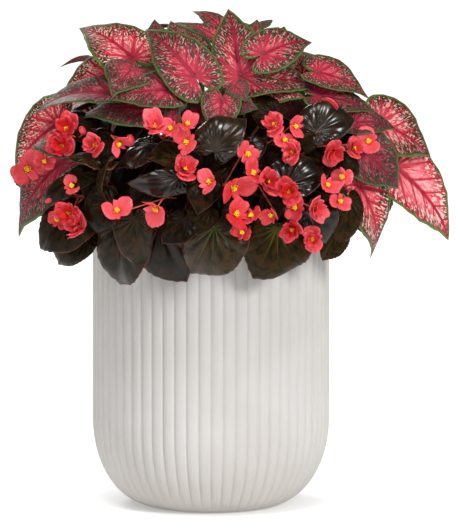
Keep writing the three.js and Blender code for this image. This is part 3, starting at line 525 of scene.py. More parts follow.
class Finish:
    """A material whose nodes are made by one method."""

    def __init__(self, name):
        self.material = bpy.data.materials.new(name)
        self.material.use_nodes = True
        self.tree = self.material.node_tree
        self.tree.nodes.clear()

    def node(self, kind, settings=None, inputs=(), output=0):
        """A node of a kind. Its settings come first, then its inputs, by number or name, given or linked."""
        made = self.tree.nodes.new(kind)
        for key, value in (settings or {}).items():
            setattr(made, key, value)
        for key, value in inputs.items() if isinstance(inputs, dict) else enumerate(inputs):
            if isinstance(value, Signal):
                self.tree.links.new(value.socket, made.inputs[key])
            else:
                made.inputs[key].default_value = value
        return Signal(self, made.outputs[output]) if made.outputs else None

    def carried(self, name):
        """A number that the surface's points carry under a name."""
        return self.node("ShaderNodeAttribute", {"attribute_name": name}, output="Fac")

    def map(self, name):
        """The numbers of a map that the surface's points carry: two, and a nought."""
        return self.split(self.node("ShaderNodeUVMap", {"uv_map": name}))

    def place(self):
        """The point on the piece, in metres."""
        return self.node("ShaderNodeTexCoord", output="Object")

    def split(self, vector):
        """The three numbers of a vector."""
        first = self.node("ShaderNodeSeparateXYZ", inputs=[vector])
        return [Signal(self, socket) for socket in first.socket.node.outputs]

    def point(self, x, y, z):
        """A vector of three numbers."""
        return self.node("ShaderNodeCombineXYZ", inputs=[x, y, z])

    def noise(self, at, scale, detail=2.0, rough=0.5):
        """Clouds from 0 to 1 over a vector: the larger the scale, the finer."""
        inputs = {"Vector": at, "Scale": scale, "Detail": detail, "Roughness": rough}
        return self.node("ShaderNodeTexNoise", inputs=inputs)

    def mix(self, under, over, amount):
        """A colour, covered with another one by an amount from 0 to 1."""
        return self.node("ShaderNodeMix", {"data_type": "RGBA"}, {0: amount, 6: under, 7: over}, output=2)

    def layers(self, colour, coats):
        """A colour, covered in turn with others, each by its amount."""
        for over, amount in coats:
            colour = self.mix(colour, over, amount)
        return colour

    def surface(self, colour, roughness, height=None, relief=0.001, **constants):
        """The finished shader: a height, from 0 to 1, stands up by the relief, in metres."""
        inputs = {"Base Color": colour, "Roughness": roughness}
        inputs.update({key.replace("_", " "): value for key, value in constants.items()})
        if height is not None:
            inputs["Normal"] = self.node("ShaderNodeBump", inputs={"Distance": relief, "Height": height})
        shader = self.node("ShaderNodeBsdfPrincipled", inputs=inputs)
        self.node("ShaderNodeOutputMaterial", inputs={"Surface": shader})
        return self.material


def pot_finish():
    """Warm pale grey fibre-clay: a fine grain, faint clouds, streaks that run down, and a foot darkened with
    painted shade.
    """
    f = Finish("pale_clay")
    at = f.place()
    x, y, z = f.split(at)
    clouds = f.noise(at, 7.0, 4.0)
    streaks = f.noise(f.point(x * 60, y * 60, z * 3), 1.0, 3.0)
    grain = f.noise(at, 900.0, 3.0, 0.7)
    colour = f.layers(shade(204, 201, 198), [
        (shade(197, 193, 189), clouds.rise(0.35, 0.7)),
        (shade(189, 183, 177), streaks.rise(0.5, 0.75) * 0.4),
        # painted shade: the colour darkens towards the foot
        (shade(166, 160, 153), z.rise(0.16, 0.0) * 0.6)])
    return f.surface(colour, 0.62 + grain * 0.2, grain * 0.6 + clouds * 0.4, 0.0006)


def soil_finish():
    """Dark potting soil: brown crumbs, and small pale grains where the tone is high."""
    f = Finish("potting_soil_crumbs")
    at = f.place()
    crumbs = f.noise(at, 120.0, 6.0, 0.7)
    colour = f.layers(shade(30, 21, 15), [
        (shade(74, 52, 36), crumbs.rise(0.45, 0.7)),
        (shade(214, 208, 196), f.carried("tone"))])
    return f.surface(colour, 0.9, crumbs, 0.004)


def veins_of(f, width):
    """How strongly a leaf point is on a side vein, from the map that numbers those and how far apart they are
    there, in leaf lengths, and how strongly on the midrib, from its distance to it. Veins thin out to the
    edge. It also gives the vein's number and the length along it."""
    x, y, _ = f.map("leaf")
    number, along, _ = f.map("veins")
    edge = f.carried("edge")
    from_vein = number.nearest() * f.carried("vein_gap")
    thin = width * (1.25 - edge)
    side = 1 - (from_vein / thin).rise(0.4, 1.7)
    rib = 1 - (abs(y) / (thin * 1.6)).rise(0.5, 1.5)
    return side, rib * x.rise(-0.02, 0.02), number, along


def caladium_finish():
    """A caladium leaf: pink and red about the foot and the veins, and dark brown between them further out,
    which turns green towards the edge. Cream flecks are drawn out along the side veins, and the margin is
    green. A leaf's tone turns it from dull to bright, and the brightest are washed with pink between their
    veins."""
    f = Finish("caladium_leaf")
    side, rib, number, along = veins_of(f, 0.015)
    edge, tone, under = f.carried("edge"), f.carried("tone"), f.carried("under")
    seed = f.carried("seed") * 40
    streaks = f.noise(f.point(number * 3.6, along * 12, seed), 1.0, 4.0, 0.65)
    flecks = f.noise(f.point(number * 7.5, along * 24, seed + 9), 1.0, 2.0, 0.6)
    patches = f.noise(f.point(number * 0.8, along * 4, seed + 20), 1.0, 2.0, 0.5)
    clouds = f.noise(f.place(), 55.0, 3.0, 0.6)
    veined = side.math("MAXIMUM", rib)
    between = 1 - veined
    red = f.mix(shade(126, 24, 46), shade(204, 24, 50), tone * 0.9 + clouds * 0.4 - 0.15)
    pink = f.mix(shade(190, 50, 80), shade(254, 108, 120), tone)
    glow = (1 - edge.rise(0.2, 0.85)) * streaks.rise(0.3, 0.6)
    olive = tone.rise(0.1, 0.8) * 0.7 + patches.rise(0.4, 0.6) * 0.3
    dark = f.mix(shade(54, 42, 36), shade(44, 42, 18), olive)
    dark = f.mix(dark, shade(46, 60, 30), edge.rise(0.7, 1.0) * 0.8)
    darkened = (edge * 0.52 + streaks - tone * 0.14).rise(0.66, 0.76)
    cream = f.mix(shade(200, 108, 116), shade(255, 214, 196), tone)
    flecked = (flecks + tone * 0.03 + patches * 0.2).rise(0.65, 0.71)
    flecked = flecked * edge.rise(0.12, 0.35) * edge.rise(0.96, 0.86)
    washed = tone.rise(1.1, 1.5) * streaks.rise(0.36, 0.6) * edge.rise(0.1, 0.35) * edge.rise(1.0, 0.5)
    margin = (f.carried("inwards") + clouds * 0.02 + flecks * 0.04).rise(0.066, 0.046)
    green = f.mix(shade(74, 92, 66), shade(92, 124, 36), tone * 0.8 + clouds * 0.3)
    underside = f.mix(shade(150, 96, 96), shade(170, 128, 96), margin)
    colour = f.layers(red, [
        (pink, glow * (0.5 + tone * 0.5)),
        (dark, darkened * (0.95 - veined * 0.75)),
        (cream, flecked * (0.4 + tone * 0.5) * between),
        (f.mix(shade(150, 36, 62), shade(186, 20, 52), tone), side * 0.75),
        (f.mix(shade(122, 26, 50), shade(160, 14, 44), tone), rib * 0.85),
        (shade(255, 146, 160), washed * between * 0.8),
        (green, margin),
        (underside, under * 0.7)])
    relief = between * 0.7 + clouds * 0.3
    return f.surface(colour, 0.42 + clouds * 0.16, relief, 0.0016, Specular_IOR_Level=0.2)


def begonia_finish():
    """A bronze begonia leaf: near black to olive with its tone and with clouds, blackish green in its
    hollows, which is partly the leaf's colour and partly painted shade, and redder on its swellings, with
    brown or green veins, a thin red edge, and a dull brown underside. Its gloss is a coat, as strong as its
    shine."""
    f = Finish("begonia_leaf_bronze")
    side, rib, number, along = veins_of(f, 0.01)
    edge, tone, under = f.carried("edge"), f.carried("tone"), f.carried("under")
    clouds = f.noise(f.place(), 45.0, 4.0, 0.6)
    seed = f.carried("seed") * 40
    puckers = f.noise(f.point(number * 2.0, along * 7, seed), 1.0, 3.0, 0.6)
    fading = (1 - edge.rise(0.1, 0.75)) * (0.2 + tone * 0.6)
    veined = side.math("MAXIMUM", rib)
    vein = f.mix(shade(60, 34, 20), shade(88, 96, 32), tone.rise(0.35, 0.85))
    underside = f.mix(shade(84, 58, 40), shade(130, 108, 66), clouds.rise(0.35, 0.65))
    colour = f.layers(shade(8, 4, 1), [
        (shade(66, 47, 8), tone * 0.8 + clouds * 0.9 - 0.5),
        # the hollows of the relief are darkened: partly mottling, partly painted shade
        (shade(6, 9, 3), puckers.rise(0.56, 0.36) * 0.75),
        (shade(74, 28, 12), puckers.rise(0.5, 0.75) * 0.45),
        (vein, veined * fading),
        (shade(116, 54, 42), edge.rise(0.97, 0.995) * 0.6),
        (underside, under)])
    relief = puckers * 0.7 + (1 - veined) * 0.3
    gloss = (0.05 + f.carried("shine") * 0.9) * (1 - under * 0.8)
    return f.surface(colour, 0.3 + clouds * 0.12 + under * 0.3, relief, 0.002, Specular_IOR_Level=0.06,
                     Coat_Weight=gloss, Coat_Roughness=0.24)


def petal_finish():
    """A coral-red petal: deepest about its foot, which is partly its own colour and partly painted shade, and
    paler along fine lines that fan out to the rim. Its tone turns it from deep red to pink."""
    f = Finish("begonia_petal")
    x, y, _ = f.map("leaf")
    edge, tone = f.carried("edge"), f.carried("tone")
    lines = f.noise(f.point((y / (x + 0.15)) * 12, edge * 1.5, tone * 30), 1.0, 2.0)
    clouds = f.noise(f.place(), 90.0, 2.0)
    colour = f.layers(shade(200, 0, 16), [
        (shade(255, 90, 104), tone * 0.95 + clouds * 0.6 - 0.24),
        (shade(255, 156, 160), lines.rise(0.42, 0.7) * edge.rise(0.3, 1.0) * (0.1 + tone * 0.5)),
        # the deeper red about the foot is partly painted shade
        (shade(164, 4, 18), edge.rise(0.45, 0.0) * 0.8)])
    return f.surface(colour, 0.4 + lines * 0.12, lines, 0.0006, Specular_IOR_Level=0.4)


def plain_finish(name, dark, light, roughness, scale, relief):
    """A stalk, stamen or tuber: two shades clouded together, with a grain of that scale."""
    f = Finish(name)
    clouds = f.noise(f.place(), scale, 4.0, 0.6)
    colour = f.mix(dark, light, clouds.rise(0.35, 0.65))
    return f.surface(colour, roughness + clouds * 0.15, clouds, relief)


POT = pot_finish()
SOIL = soil_finish()
CALADIUM = caladium_finish()
BEGONIA = begonia_finish()
PETAL = petal_finish()
CALADIUM_STALK = plain_finish("caladium_stalk", shade(96, 52, 50), shade(150, 92, 74), 0.4, 60.0, 0.0005)
BEGONIA_STALK = plain_finish("begonia_stalk", shade(84, 44, 30), shade(128, 84, 44), 0.4, 70.0, 0.0005)
FLOWER_STALK = plain_finish("flower_stalk", shade(176, 44, 40), shade(206, 96, 66), 0.4, 90.0, 0.0003)
STAMEN = plain_finish("stamens", shade(255, 206, 4), shade(255, 244, 50), 0.5, 400.0, 0.0005)
TUBER = plain_finish("tuber_skin", shade(58, 40, 28), shade(98, 72, 50), 0.8, 90.0, 0.003)


# ---------------- the planter and its soil
def foot_profile(wall, floor, steps):
    """The rounded foot from the axis up to the straight wall: a quarter of an ellipse."""
    a = np.linspace(0, math.pi / 2, steps)
    radius = POT_RADIUS - CORNER_IN + (CORNER_IN - wall) * np.sin(a)
    return [(0, floor), *zip(radius, floor + (CORNER_UP - floor) * (1 - np.cos(a)))]


def planter_surface():
    """The pot's profile, from the axis under its foot: up the outside, over the half-round lip, down the
    inside and back along the floor. Across each rib the outside is drawn in by nearly a half ellipse, so that
    the ribs meet in sharp grooves. They fade out under the foot and end below the rim band."""
    band, turn = POT_HEIGHT - RIM_BAND, np.linspace(0, math.pi, 9)
    wall = np.concatenate([np.linspace(CORNER_UP + 12, band - 8, 26), band - np.array([6, 4, 2, 0, -1.5])])
    outside = foot_profile(0, 0, 30) + [(POT_RADIUS, z) for z in wall]
    lip = [(out + LIP * math.cos(a), POT_HEIGHT - LIP + LIP * math.sin(a))
           for out, angles in ((POT_RADIUS - LIP, turn[:5]), (POT_INSIDE + LIP, turn[4:])) for a in angles]

    def grooves(a, at):
        across = 2 * np.mod(a * RIBS / (2 * math.pi), 1) - 1
        depth = RIB_DEPTH * (1 - np.sqrt(1 - 0.96 * np.abs(across) ** 2.2))
        fade = np.clip(at[:, 1] / RIB_FADE, 0, 1) * np.clip((band - at[:, 1]) / RIB_END, 0, 1)
        return depth * fade * (np.arange(len(at)) < len(outside) - 1)

    return revolved(outside + lip + foot_profile(POT_WALL, POT_FLOOR, 14)[::-1], RIBS * RIB_STEPS, grooves)


def cut_drains(piece):
    """Four holes through the floor, cut with round bars that stand in a ring."""
    seats = [(360 / DRAIN_COUNT * i, DRAIN_CIRCLE) for i in range(DRAIN_COUNT)]
    bars = [tube([around(*seat, -5), around(*seat, POT_FLOOR + 5)], DRAIN_RADIUS, 32) for seat in seats]
    mesh = bpy.data.meshes.new("drain_bars")
    points = np.concatenate([bar.points for bar in bars]) * METRES
    faces = [[int(k) + i * len(bar.points) for k in row if k >= 0]
             for i, bar in enumerate(bars) for row in bar.faces]
    mesh.from_pydata(points.tolist(), [], faces)
    cutter = put("drain_bars", mesh)
    cut = piece.modifiers.new("drains", "BOOLEAN")
    cut.object, cut.operation, cut.solver = cutter, "DIFFERENCE", "EXACT"
    whole = bpy.data.meshes.new_from_object(piece.evaluated_get(bpy.context.evaluated_depsgraph_get()))
    piece.modifiers.clear()
    piece.data = whole
    bpy.data.objects.remove(cutter)


def soil_body():
    """Soil that fills the pot's inner form. Its top falls with the square of the distance from the axis, and
    is roughened in height by coarse and fine bumps, and less so beside the wall."""
    reach = POT_INSIDE - GAP
    dome = [(r, SOIL_TOP - SOIL_DOME * (r / reach) ** 2) for r in np.linspace(reach, 0, 40)]
    body = revolved(foot_profile(POT_WALL + GAP, POT_FLOOR + GAP, 10) + dome, 180)
    points = body.points
    top = points[:, 2] > SOIL_TOP - SOIL_DOME - 1
    inwards = np.clip((reach - np.hypot(points[:, 0], points[:, 1])) / 8, 0, 1)
    points[:, 2] += top * inwards * (2.5 * bumps(points, 34) + 1.6 * bumps(points + 50, 9))
    return body


def soil_crumbs():
    """Small rough eggs, scattered evenly over the soil: each is as far out as its reach times the square root
    of a draw. About one in seven is a pale grain."""
    crumbs = []
    for n in range(CRUMBS):
        out = (POT_INSIDE - 8) * math.sqrt(draw(n, 61))
        size = 1.6 + 3.4 * draw(n, 62) ** 2
        middle = around(360 * draw(n, 63), out, SOIL_TOP - SOIL_DOME * (out / POT_INSIDE) ** 2 + 0.5)
        tone = 0.85 if draw(n, 64) > 0.86 else 0.0
        crumbs.append(lump(middle, np.eye(3), (size, size * 0.8, size * 0.7), 5, 4, rough=0.5, tone=tone))
    return crumbs


cut_drains(make_piece("ribbed_planter", [planter_surface()], [POT], "planter"))
make_piece("potting_soil_bed", [soil_body(), *soil_crumbs()], [SOIL], "potting_soil")


# ---------------- leaves
def seen_leaf(row, n):
    """A leaf of the photograph. Its tip is moved along the line of sight if it slopes more than STEEPEST."""
    foot_x, foot_y, tip_x, tip_y, near, further, roll, width, half, tone = row
    foot, tip = seen_at(foot_x, foot_y, near), seen_at(tip_x, tip_y, near + further)
    depth = (tip - foot).dot(TO_VIEWER)
    most = STEEPEST * MM_PER_PIXEL * math.hypot(tip_x - foot_x, tip_y - foot_y)
    tip = tip + TO_VIEWER * (np.clip(depth, -most, most) - depth)
    return Record(foot=foot, tip=tip, roll=roll, width=width, half=half, side=TO_VIEWER, tone=tone, shine=0,
                  n=n)


def rows_of_leaves(rows, first):
    """Rows of leaves that hang down the mound, evenly round it with small draws. A tip lies below its foot by
    nearly the angle that the leaf's length covers there, and every other foot lies further in."""
    leaves = []
    for kind, count, start, end, height, length, lift in rows:
        for i in range(count):
            n = 10 * kind + i
            bearing = start + (end - start) * (i + 0.3 * draw(n, 1)) / (count - 0.7)
            foot = on_mound(bearing, height + 6 * draw(n, 2), lift - 26 - 8 * (i % 2))
            drop = math.degrees(length / tall(height)) * (0.85 + 0.15 * draw(n, 4))
            tip = on_mound(bearing + 16 * (draw(n, 3) - 0.5), height - drop, lift)
            leaves.append(Record(foot=foot, tip=foot + unit(tip - foot) * length * (0.9 + 0.2 * draw(n, 5)),
                                 roll=24 * (draw(n, 6) - 0.5), width=1, half=1, side=out_of(foot),
                                 tone=0.2 + 0.7 * draw(n, 7) if kind < INNER_KIND else INNER_SHADE_TONE,
                                 shine=0, n=first + len(leaves)))
    return leaves


def all_leaves(seen, hidden, inner):
    """A plant's photographed leaves and its hidden rows, numbered on, and its inner rows, numbered anew."""
    leaves = [seen_leaf(row, n) for n, row in enumerate(seen)]
    return leaves + rows_of_leaves(hidden, len(leaves)) + rows_of_leaves(inner, 0)


def swept_veins(x, y):
    """A caladium's side veins, numbered. Before the foot, vein s leaves the midrib at x = s and sweeps
    forward: x = s + sweep |y|^0.9. Behind the first one they fan out from the foot, spread degrees apart.
    The veins' distance from each other and the length along them are in leaf lengths."""
    sweep, count, spread = 0.85, 5.5, 25
    front = x - sweep * np.abs(y) ** 0.9
    reach = np.hypot(x, y)
    behind = (math.atan(1 / sweep) - np.abs(np.arctan2(y, x))) / math.radians(spread)
    number = np.where(front > 0, front * count, behind)
    gap = np.where(front > 0, 1 / (count * math.hypot(1, sweep)), reach * math.radians(spread))
    along = np.where(front > 0, np.abs(y) * math.hypot(1, sweep), reach)
    return number, gap, along


def fanned_veins(x, y):
    """A begonia's veins, numbered: they all fan out from the foot, FAN degrees apart."""
    reach = np.hypot(x, y)
    return np.abs(np.arctan2(y, x)) / math.radians(FAN), reach * math.radians(FAN), reach


def leaf_surface(leaf, outline, angles, shape, veins):
    """A leaf's blade. Its height, in leaf lengths, is a sum: a parabola's arch from foot to tip, a crease in
    proportion to the distance from the midrib, a droop with the square of it, waves round the foot that grow
    with the square of the distance from it, a swelling between the side veins, and crinkles and a curl that
    grow with the fifth power of r and so show at the edge."""
    along, across, up, length = blade_axes(leaf)

    def height(x, y, r):
        number, _, _ = veins(x, y)
        arch = shape.arch * np.where(x > 0, 4 * x * (1 - x), 4 * x)
        crease = shape.crease * (np.hypot(y, 0.03) - 0.03)
        wave = shape.wave * np.sin(shape.waves * np.arctan2(y, x) + shape.phase) * (x * x + y * y)
        swell = shape.swell * np.abs(np.sin(math.pi * number)) * r * (1.12 - r)
        crinkle = shape.crinkle * np.sin(37 * np.arctan2(y, x) + 5 * shape.phase) * r ** 5
        curl = shape.curl * r ** 5 * (1 + 0.8 * np.sin(2 * np.arctan2(y, x) + 2 * shape.phase))
        return arch + crease - shape.droop * y * y + wave + swell + crinkle - curl

    def place(p):
        return leaf.foot + (p * length) @ np.array([along, across, up])

    sheet = fan_sheet(angles, BLADE_RINGS, outline, leaf.width, height, BLADE_THICK / length, place,
                      tone=leaf.tone, seed=draw(leaf.n, 8), shine=leaf.shine)
    x, y = sheet.carried["leaf"].T
    number, gap, run = veins(x, y)
    sheet.carried["veins"] = np.stack([number, run], axis=-1)
    sheet.carried["vein_gap"] = gap
    return sheet


def caladium_leaf(leaf):
    """A heart: the outline of its table on both sides, with a slight wave in it."""
    n = leaf.n
    shape = Record(arch=0.07 + 0.05 * draw(n, 11), crease=0.22 + 0.16 * draw(n, 12), droop=0.35, wave=0.04,
                   waves=5, phase=6 * draw(n, 13), swell=0.014, crinkle=0.004, curl=0.02)
    angles = np.array([-a for a in CALADIUM_ANGLES[:0:-1]] + CALADIUM_ANGLES, float)

    def outline(a):
        return smooth_curve(np.abs(a), CALADIUM_OUTLINE) * (1 + 0.012 * np.sin(a * 0.31 + 6 * draw(n, 14)))

    return leaf_surface(leaf, outline, angles, shape, swept_veins)


def begonia_leaf(leaf):
    """A lopsided leaf: a larger and a smaller half, from their tables, with a slight wave and small teeth."""
    n = leaf.n
    shape = Record(arch=0.08 + 0.06 * draw(n, 21), crease=0.22 + 0.25 * draw(n, 22), droop=0.3, wave=0.06,
                   waves=6, phase=6 * draw(n, 23), swell=0.09, crinkle=0.01, curl=0.08)
    angles = np.sort(np.arange(-156, 161, FAN / 6) * leaf.half)

    def outline(a):
        large, small = (smooth_curve(np.abs(a), half) for half in (BEGONIA_LARGE_HALF, BEGONIA_SMALL_HALF))
        reach = np.where(a * leaf.half > 0, large, small)
        return reach * (1 + 0.02 * np.sin(a * 0.13 + 6 * draw(n, 24)) + 0.006 * np.cos(math.pi * a / 4))

    return leaf_surface(leaf, outline, angles, shape, fanned_veins)


def stalk_route(root, leaf, bow):
    """From a root over the middle of the way, raised by a bow, and into the blade from below its foot."""
    along, _, up, _ = blade_axes(leaf)
    middle = (root + leaf.foot) / 2 + vec(0, 0, bow)
    end = leaf.foot + along * STALK_SEAT * 0.5
    return [root, middle, end - up * 2 * STALK_SEAT, end - up * 0.5]


# ---------------- begonias and caladiums
def stem_point(i, t):
    """A begonia's stem: straight up out of the soil, then leaning out with the square of its height."""
    bearing = 360 * (i + 0.5) / STEM.count
    return around(bearing, STEM.circle + STEM.lean * max(0, t) ** 2, SOIL_TOP + STEM.rise * t)


def stem_seat(p, below, lowest, highest):
    """The number of the stem nearest to a point, and its point that far below, between two levels of it."""
    i = int(math.degrees(math.atan2(p[0], -p[1])) % 360 // (360 / STEM.count))
    return i, stem_point(i, min(max((p[2] - below - SOIL_TOP) / STEM.rise, lowest), highest))


def grow_begonias():
    """Each leaf grows on a bowed stalk from the nearest stem. The stems thin out evenly, and swell in a bell
    curve at each knuckle."""
    plants = [[] for _ in range(STEM.count)]
    leaves = all_leaves(BEGONIA_LEAVES, BEGONIA_ROWS, INNER_BEGONIAS)
    for row, shine in SHINING.items():
        leaves[row].shine = shine
    for leaf in leaves:
        i, root = stem_seat(leaf.foot, LEAF_DROP, 0.2, 0.97)
        plants[i] += [begonia_leaf(leaf), stalk(stalk_route(root, leaf, BEGONIA_BOW), BEGONIA_STALKS, 1)]
    for i, plant in enumerate(plants):
        t = np.linspace(-STEM.buried / STEM.rise, 1, 40)
        knuckles = np.exp(-((np.mod(t * STEM.knuckles, 1) - 0.5) / 0.12) ** 2)
        thickness = STEM.radius * (1 - 0.25 * t + 0.18 * knuckles)
        plant.append(tube([stem_point(i, share) for share in t], thickness, 12, 1))
        make_piece(f"begonia_plant_{i + 1}", plant, [BEGONIA, BEGONIA_STALK], f"begonia_{i + 1}")


def grow_caladiums():
    """Each leaf grows on a bowed stalk from the nearest tuber, and the lower it is, the nearer the tuber's
    edge. A tuber is a rough egg."""
    tops = [around(bearing, out, SOIL_TOP + TUBER_ABOVE) for bearing, out in TUBERS]
    plants = [[] for _ in TUBERS]
    for leaf in all_leaves(CALADIUM_LEAVES, CALADIUM_ROWS, INNER_CALADIUMS):
        foot = leaf.foot
        i = int(np.argmin([math.hypot(*(top - foot)[:2]) for top in tops]))
        low = min(max((900 - foot[2]) / 400, 0.15), 1)
        outward = unit((foot - tops[i]) * (1, 1, 0)) * 0.65 * low * TUBER_RADIUS
        root = tops[i] + outward - vec(0, 0, TUBER_ABOVE / 2)
        route = stalk_route(root, leaf, CALADIUM_BOW)
        plants[i] += [caladium_leaf(leaf), stalk(route, CALADIUM_STALKS, 1)]
    for i, plant in enumerate(plants):
        middle = tops[i] - vec(0, 0, TUBER_HEIGHT / 2)
        sizes = (TUBER_RADIUS, TUBER_RADIUS, TUBER_HEIGHT / 2)
        plant.append(lump(middle, np.eye(3), sizes, 28, 18, 2, rough=0.12))
        make_piece(f"caladium_plant_{i + 1}", plant, [CALADIUM, CALADIUM_STALK, TUBER], f"caladium_{i + 1}")


grow_begonias()
grow_caladiums()


# ---------------- flowers
def flower_head(middle, size, n, side):
    """Where a flower faces, between straight out of the mound and a given side and tilted by draws, how it is
    turned about that, how far it reaches, and how deep a cup it is."""
    up = out_of(middle) + side
    up = unit(up + vec(FLOWER_SWAY * (draw(n, 33) - 0.5), 0, FLOWER_TILT * (draw(n, 34) - 0.5)))
    along = turned(unit(np.cross(vec(0, 0, 1), up)), up, math.pi * draw(n, 31))
    return Record(middle=middle, size=size, n=n, up=up, along=along, across=np.cross(up, along),
                  reach=FLOWER_REACH * size, cup=0.2 + 0.3 * draw(n, 32))


def petal(head, turn, reach, width, lift, raised, tone):
    """One petal. Its reach about its foot is a power of the angle's cosine, slightly waved, with a notch at
    the tip. Its height rises with the distance along it, cups with the square of that, folds up with the
    square of the distance across it, is ruffled by sines towards the rim, and curls back at the rim."""
    along = head.along * math.cos(turn) + head.across * math.sin(turn)
    across = np.cross(head.up, along)
    seed = head.n + turn
    phase = 6 * draw(seed, 37)
    cup, fold = head.cup * (0.6 + 0.8 * draw(seed, 42)), 0.2 + 0.5 * draw(seed, 43)

    def height(x, y, r):
        ruffle = 0.05 * r ** 3 * np.sin(5 * np.arctan2(y, x) + phase) + 0.02 * r ** 3 * np.sin(13 * y + phase)
        return raised * x + cup * x * x + fold * y * y + ruffle - 0.12 * r ** 6

    def outline(a):
        return np.cos(np.radians(a)) ** 0.72 * (1 + 0.03 * np.sin(a * 0.12 + phase)) - 0.05 * (np.abs(a) < 9)

    def place(p):
        return head.middle + head.up * lift + (p * reach) @ np.array([along, across, head.up])

    return fan_sheet(PETAL_ANGLES, PETAL_RINGS, outline, width, height, PETAL_THICK / reach, place, tone=tone)


def flower(head):
    """Two wide petals and two narrow ones across them, about a knot of stamens: small eggs in an uneven dome.
    Some flowers stand half closed, and some of the large ones are full: nine more petals in a spiral, each
    smaller, higher and steeper than the last."""
    n = head.n
    tone, closing = 0.1 + 0.85 * draw(n, 38), max(0, draw(n, 44) - 0.45)
    made = []
    for k in range(4):
        reach, width, closes, lift = (WIDE_PETAL, NARROW_PETAL)[k % 2]
        reach = head.reach * reach * (0.88 + 0.16 * draw(n + k, 39))
        raised = closing * closes + 0.25 * draw(n + k, 45)
        shaded = np.clip(tone + 0.3 * (draw(n + k, 46) - 0.5), 0, 1)
        turn = k * math.pi / 2 + 0.3 * (draw(n + k, 47) - 0.5)
        made.append(petal(head, turn, reach, width, lift, raised, shaded))
    if head.size > 0.78 and draw(n, 40) > 0.5:
        for k in range(9):
            made.append(petal(head, SPIRAL_TURN * k + 0.5, head.reach * (0.78 - 0.045 * k), 0.85,
                              1.5 + 0.3 * k, 0.35 + 0.16 * k, max(0, tone - 0.05 * k)))
    axes = [head.along, head.across, head.up]
    for k in range(STAMENS):
        out = KNOT_REACH * math.sqrt((k + 0.5) / STAMENS) * head.size * (0.7 + 0.6 * draw(n + k, 48))
        a = SPIRAL_TURN * k
        at = head.along * out * math.cos(a) * 1.2 + head.across * out * math.sin(a)
        at = at + head.middle + head.up * (STAMEN_HEIGHT * 0.95 - 0.1 * out * out + 2 * draw(n + k, 41))
        made.append(lump(at, axes, STAMEN_SIZE, 5, 4, 1, rough=0.3))
    made.append(lump(head.middle + head.up * 2, axes, KNOT_SIZE, 10, 6, 1, rough=0.3))
    return made


def bud(head):
    """Two round closed petals: eggs flattened and set a little apart."""
    axes = [head.along, head.across, head.up]
    size = 0.55 * head.reach
    return [lump(head.middle + head.across * 0.16 * size * side, axes, (size, 0.4 * size, 0.95 * size),
                 16, 10, tone=0.4, edge=0.4) for side in (1, -1)]


def grow_spray(i, heads):
    """A stalk from the side of the nearest stem to the first flower, which forks to each other flower."""
    first = heads[0]
    seat = first.middle
    _, axis = stem_seat(seat, SPRAY_DROP, 0.5, 0.98)
    root = axis + unit((seat - axis) * (1, 1, 0)) * (STEM.radius - 0.2)
    behind = seat - first.up * FLOWER_NECK
    bend = (root + behind) / 2
    made = [stalk([root, bend, behind, seat], FLOWER_STALKS, 2)]
    for k, head in enumerate(heads):
        if k:
            fork = bend + (behind - root) / 2 * (0.9 - 0.2 * (k - 1))
            made.append(stalk([fork, head.middle - head.up * SIDE_NECK, head.middle], SIDE_STALKS, 2))
        made += flower(head) if head.size > BUD_SIZE else bud(head)
    make_piece(f"begonia_spray_{i}", made, [PETAL, STAMEN, FLOWER_STALK], f"begonia_bloom_{i}")


def seen_spray(i, spray):
    """The flowers of a photographed spray, lifted off the mound by draws and turned towards the viewer."""
    return [flower_head(seen_at(x, y, FLOWER_LIFT + 16 * draw(10 * i + k, 35)), size, 10 * i + k, TO_VIEWER)
            for k, (x, y, size) in enumerate(spray)]


def back_spray(i):
    """A spray of the hidden side: its flowers stand beside and above one another and face straight out."""
    bearing = BACK_SPRAYS.start + (BACK_SPRAYS.end - BACK_SPRAYS.start) * i / (BACK_SPRAYS.count - 1)
    heads = []
    for k in range(BACK_SPRAYS.flowers):
        n = 200 + 10 * i + k
        beside = bearing + BACK_SPRAYS.beside * (k - 0.5) + 4 * draw(n, 36)
        middle = on_mound(beside, BACK_SPRAYS.height + BACK_SPRAYS.above * k, FLOWER_LIFT)
        heads.append(flower_head(middle, BACK_SPRAYS.size, n, out_of(middle)))
    return heads


sprays = [seen_spray(i, spray) for i, spray in enumerate(FLOWER_SPRAYS)]
sprays += [back_spray(i) for i in range(BACK_SPRAYS.count)]
for number, heads in enumerate(sprays, 1):
    grow_spray(number, heads)


# ---------------- floor, light and camera
def add_floor():
    """A pale floor with a light of its own, stronger behind the pot, weaker far in front, and weaker round
    the pot's foot as a painted contact shadow.
    """
    mesh = bpy.data.meshes.new("floor")
    corners = [(FLOOR_HALF * x, FLOOR_HALF * y, 0) for x, y in ((-1, -1), (1, -1), (1, 1), (-1, 1))]
    mesh.from_pydata(corners, [], [(0, 1, 2, 3)])
    f = Finish("pale_floor")
    at = f.place()
    _, y, _ = f.split(at)
    from_pot = f.node("ShaderNodeVectorMath", {"operation": "LENGTH"}, [at], output="Value")
    glow = f.mix(shade(120, 120, 120), (1, 1, 1, 1), y.rise(-1.4, -0.36))
    glow = f.mix(glow, (1.3, 1.3, 1.3, 1), y.rise(0.2, 1.2))
    # painted contact shadow: the floor's own light is dimmed near the pot's axis
    glow = f.mix(shade(168, 168, 168), glow, from_pot.rise(0.11, 0.25))
    mesh.materials.append(f.surface(shade(240, 240, 240), 0.9, Emission_Color=glow, Emission_Strength=0.62))
    floor = put("floor", mesh)


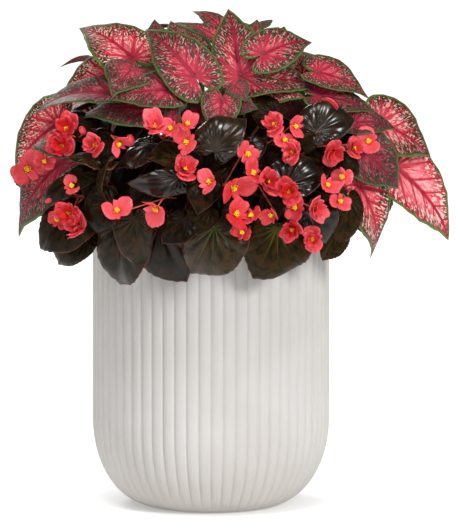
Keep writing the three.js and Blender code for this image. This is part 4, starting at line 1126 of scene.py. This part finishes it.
def aim(thing, place, target):
    """Turns a lamp or camera at a place to a target."""
    thing.location = place
    thing.rotation_euler = (Vector(target) - Vector(place)).to_track_quat("-Z", "Y").to_euler()


def add_lamp(name, place, target, size, power):
    """A round lamp at a place, which shines at a target."""
    lamp = bpy.data.lights.new(name, "AREA")
    lamp.shape, lamp.size, lamp.energy = "DISK", size, power
    aim(put(name, lamp), place, target)


def add_sun(name, direction, strength, spread):
    """A soft sun from a direction, as wide as a spread of degrees."""
    sun = bpy.data.lights.new(name, "SUN")
    sun.energy, sun.angle = strength, math.radians(spread)
    aim(put(name, sun), direction, (0, 0, 0))


def add_world(strength):
    """An even white light from all round."""
    world = bpy.data.worlds.new("studio")
    bpy.context.scene.world = world
    world.use_nodes = True
    light = world.node_tree.nodes["Background"].inputs
    light["Color"].default_value = (1, 1, 1, 1)
    light["Strength"].default_value = strength


def add_camera(distance):
    """A long lens that takes in the photograph's height from that far, aimed at the photograph's middle and
    tilted down as its view is."""
    rise = (FOOT_PIXEL - PHOTO_HIGH / 2) * MM_PER_PIXEL * METRES
    x = (PHOTO_WIDE / 2 - AXIS_PIXEL) * MM_PER_PIXEL * METRES
    target = np.array([x, rise * math.sin(VIEW_TILT), rise * math.cos(VIEW_TILT)])
    lens = bpy.data.cameras.new("camera")
    lens.sensor_width = SENSOR
    lens.lens = SENSOR * distance / (PHOTO_HIGH * MM_PER_PIXEL * METRES)
    lens.clip_end = 100
    camera = put("camera", lens)
    aim(camera, (target + TO_VIEWER * distance).tolist(), target.tolist())
    bpy.context.scene.camera = camera


add_floor()
add_world(0.12)
add_sun("key", (0.62, -0.66, 0.44), 1.95, 16)
add_lamp("softbox", (-0.2, -1.2, 2.0), (0, -0.2, 0.62), 0.8, 13)
add_lamp("front", (0.5, -3.2, 1.3), (0, 0, 0.5), 0.6, 7)
add_lamp("fill", (-2.6, -1.7, 1.2), (0, 0, 0.4), 1.2, 12)
add_lamp("back", (-1.2, 2.2, 2.0), (0, 0, 0.6), 1.4, 34)
add_camera(CAMERA_AWAY)
bpy.context.scene.view_settings.view_transform = "Standard"
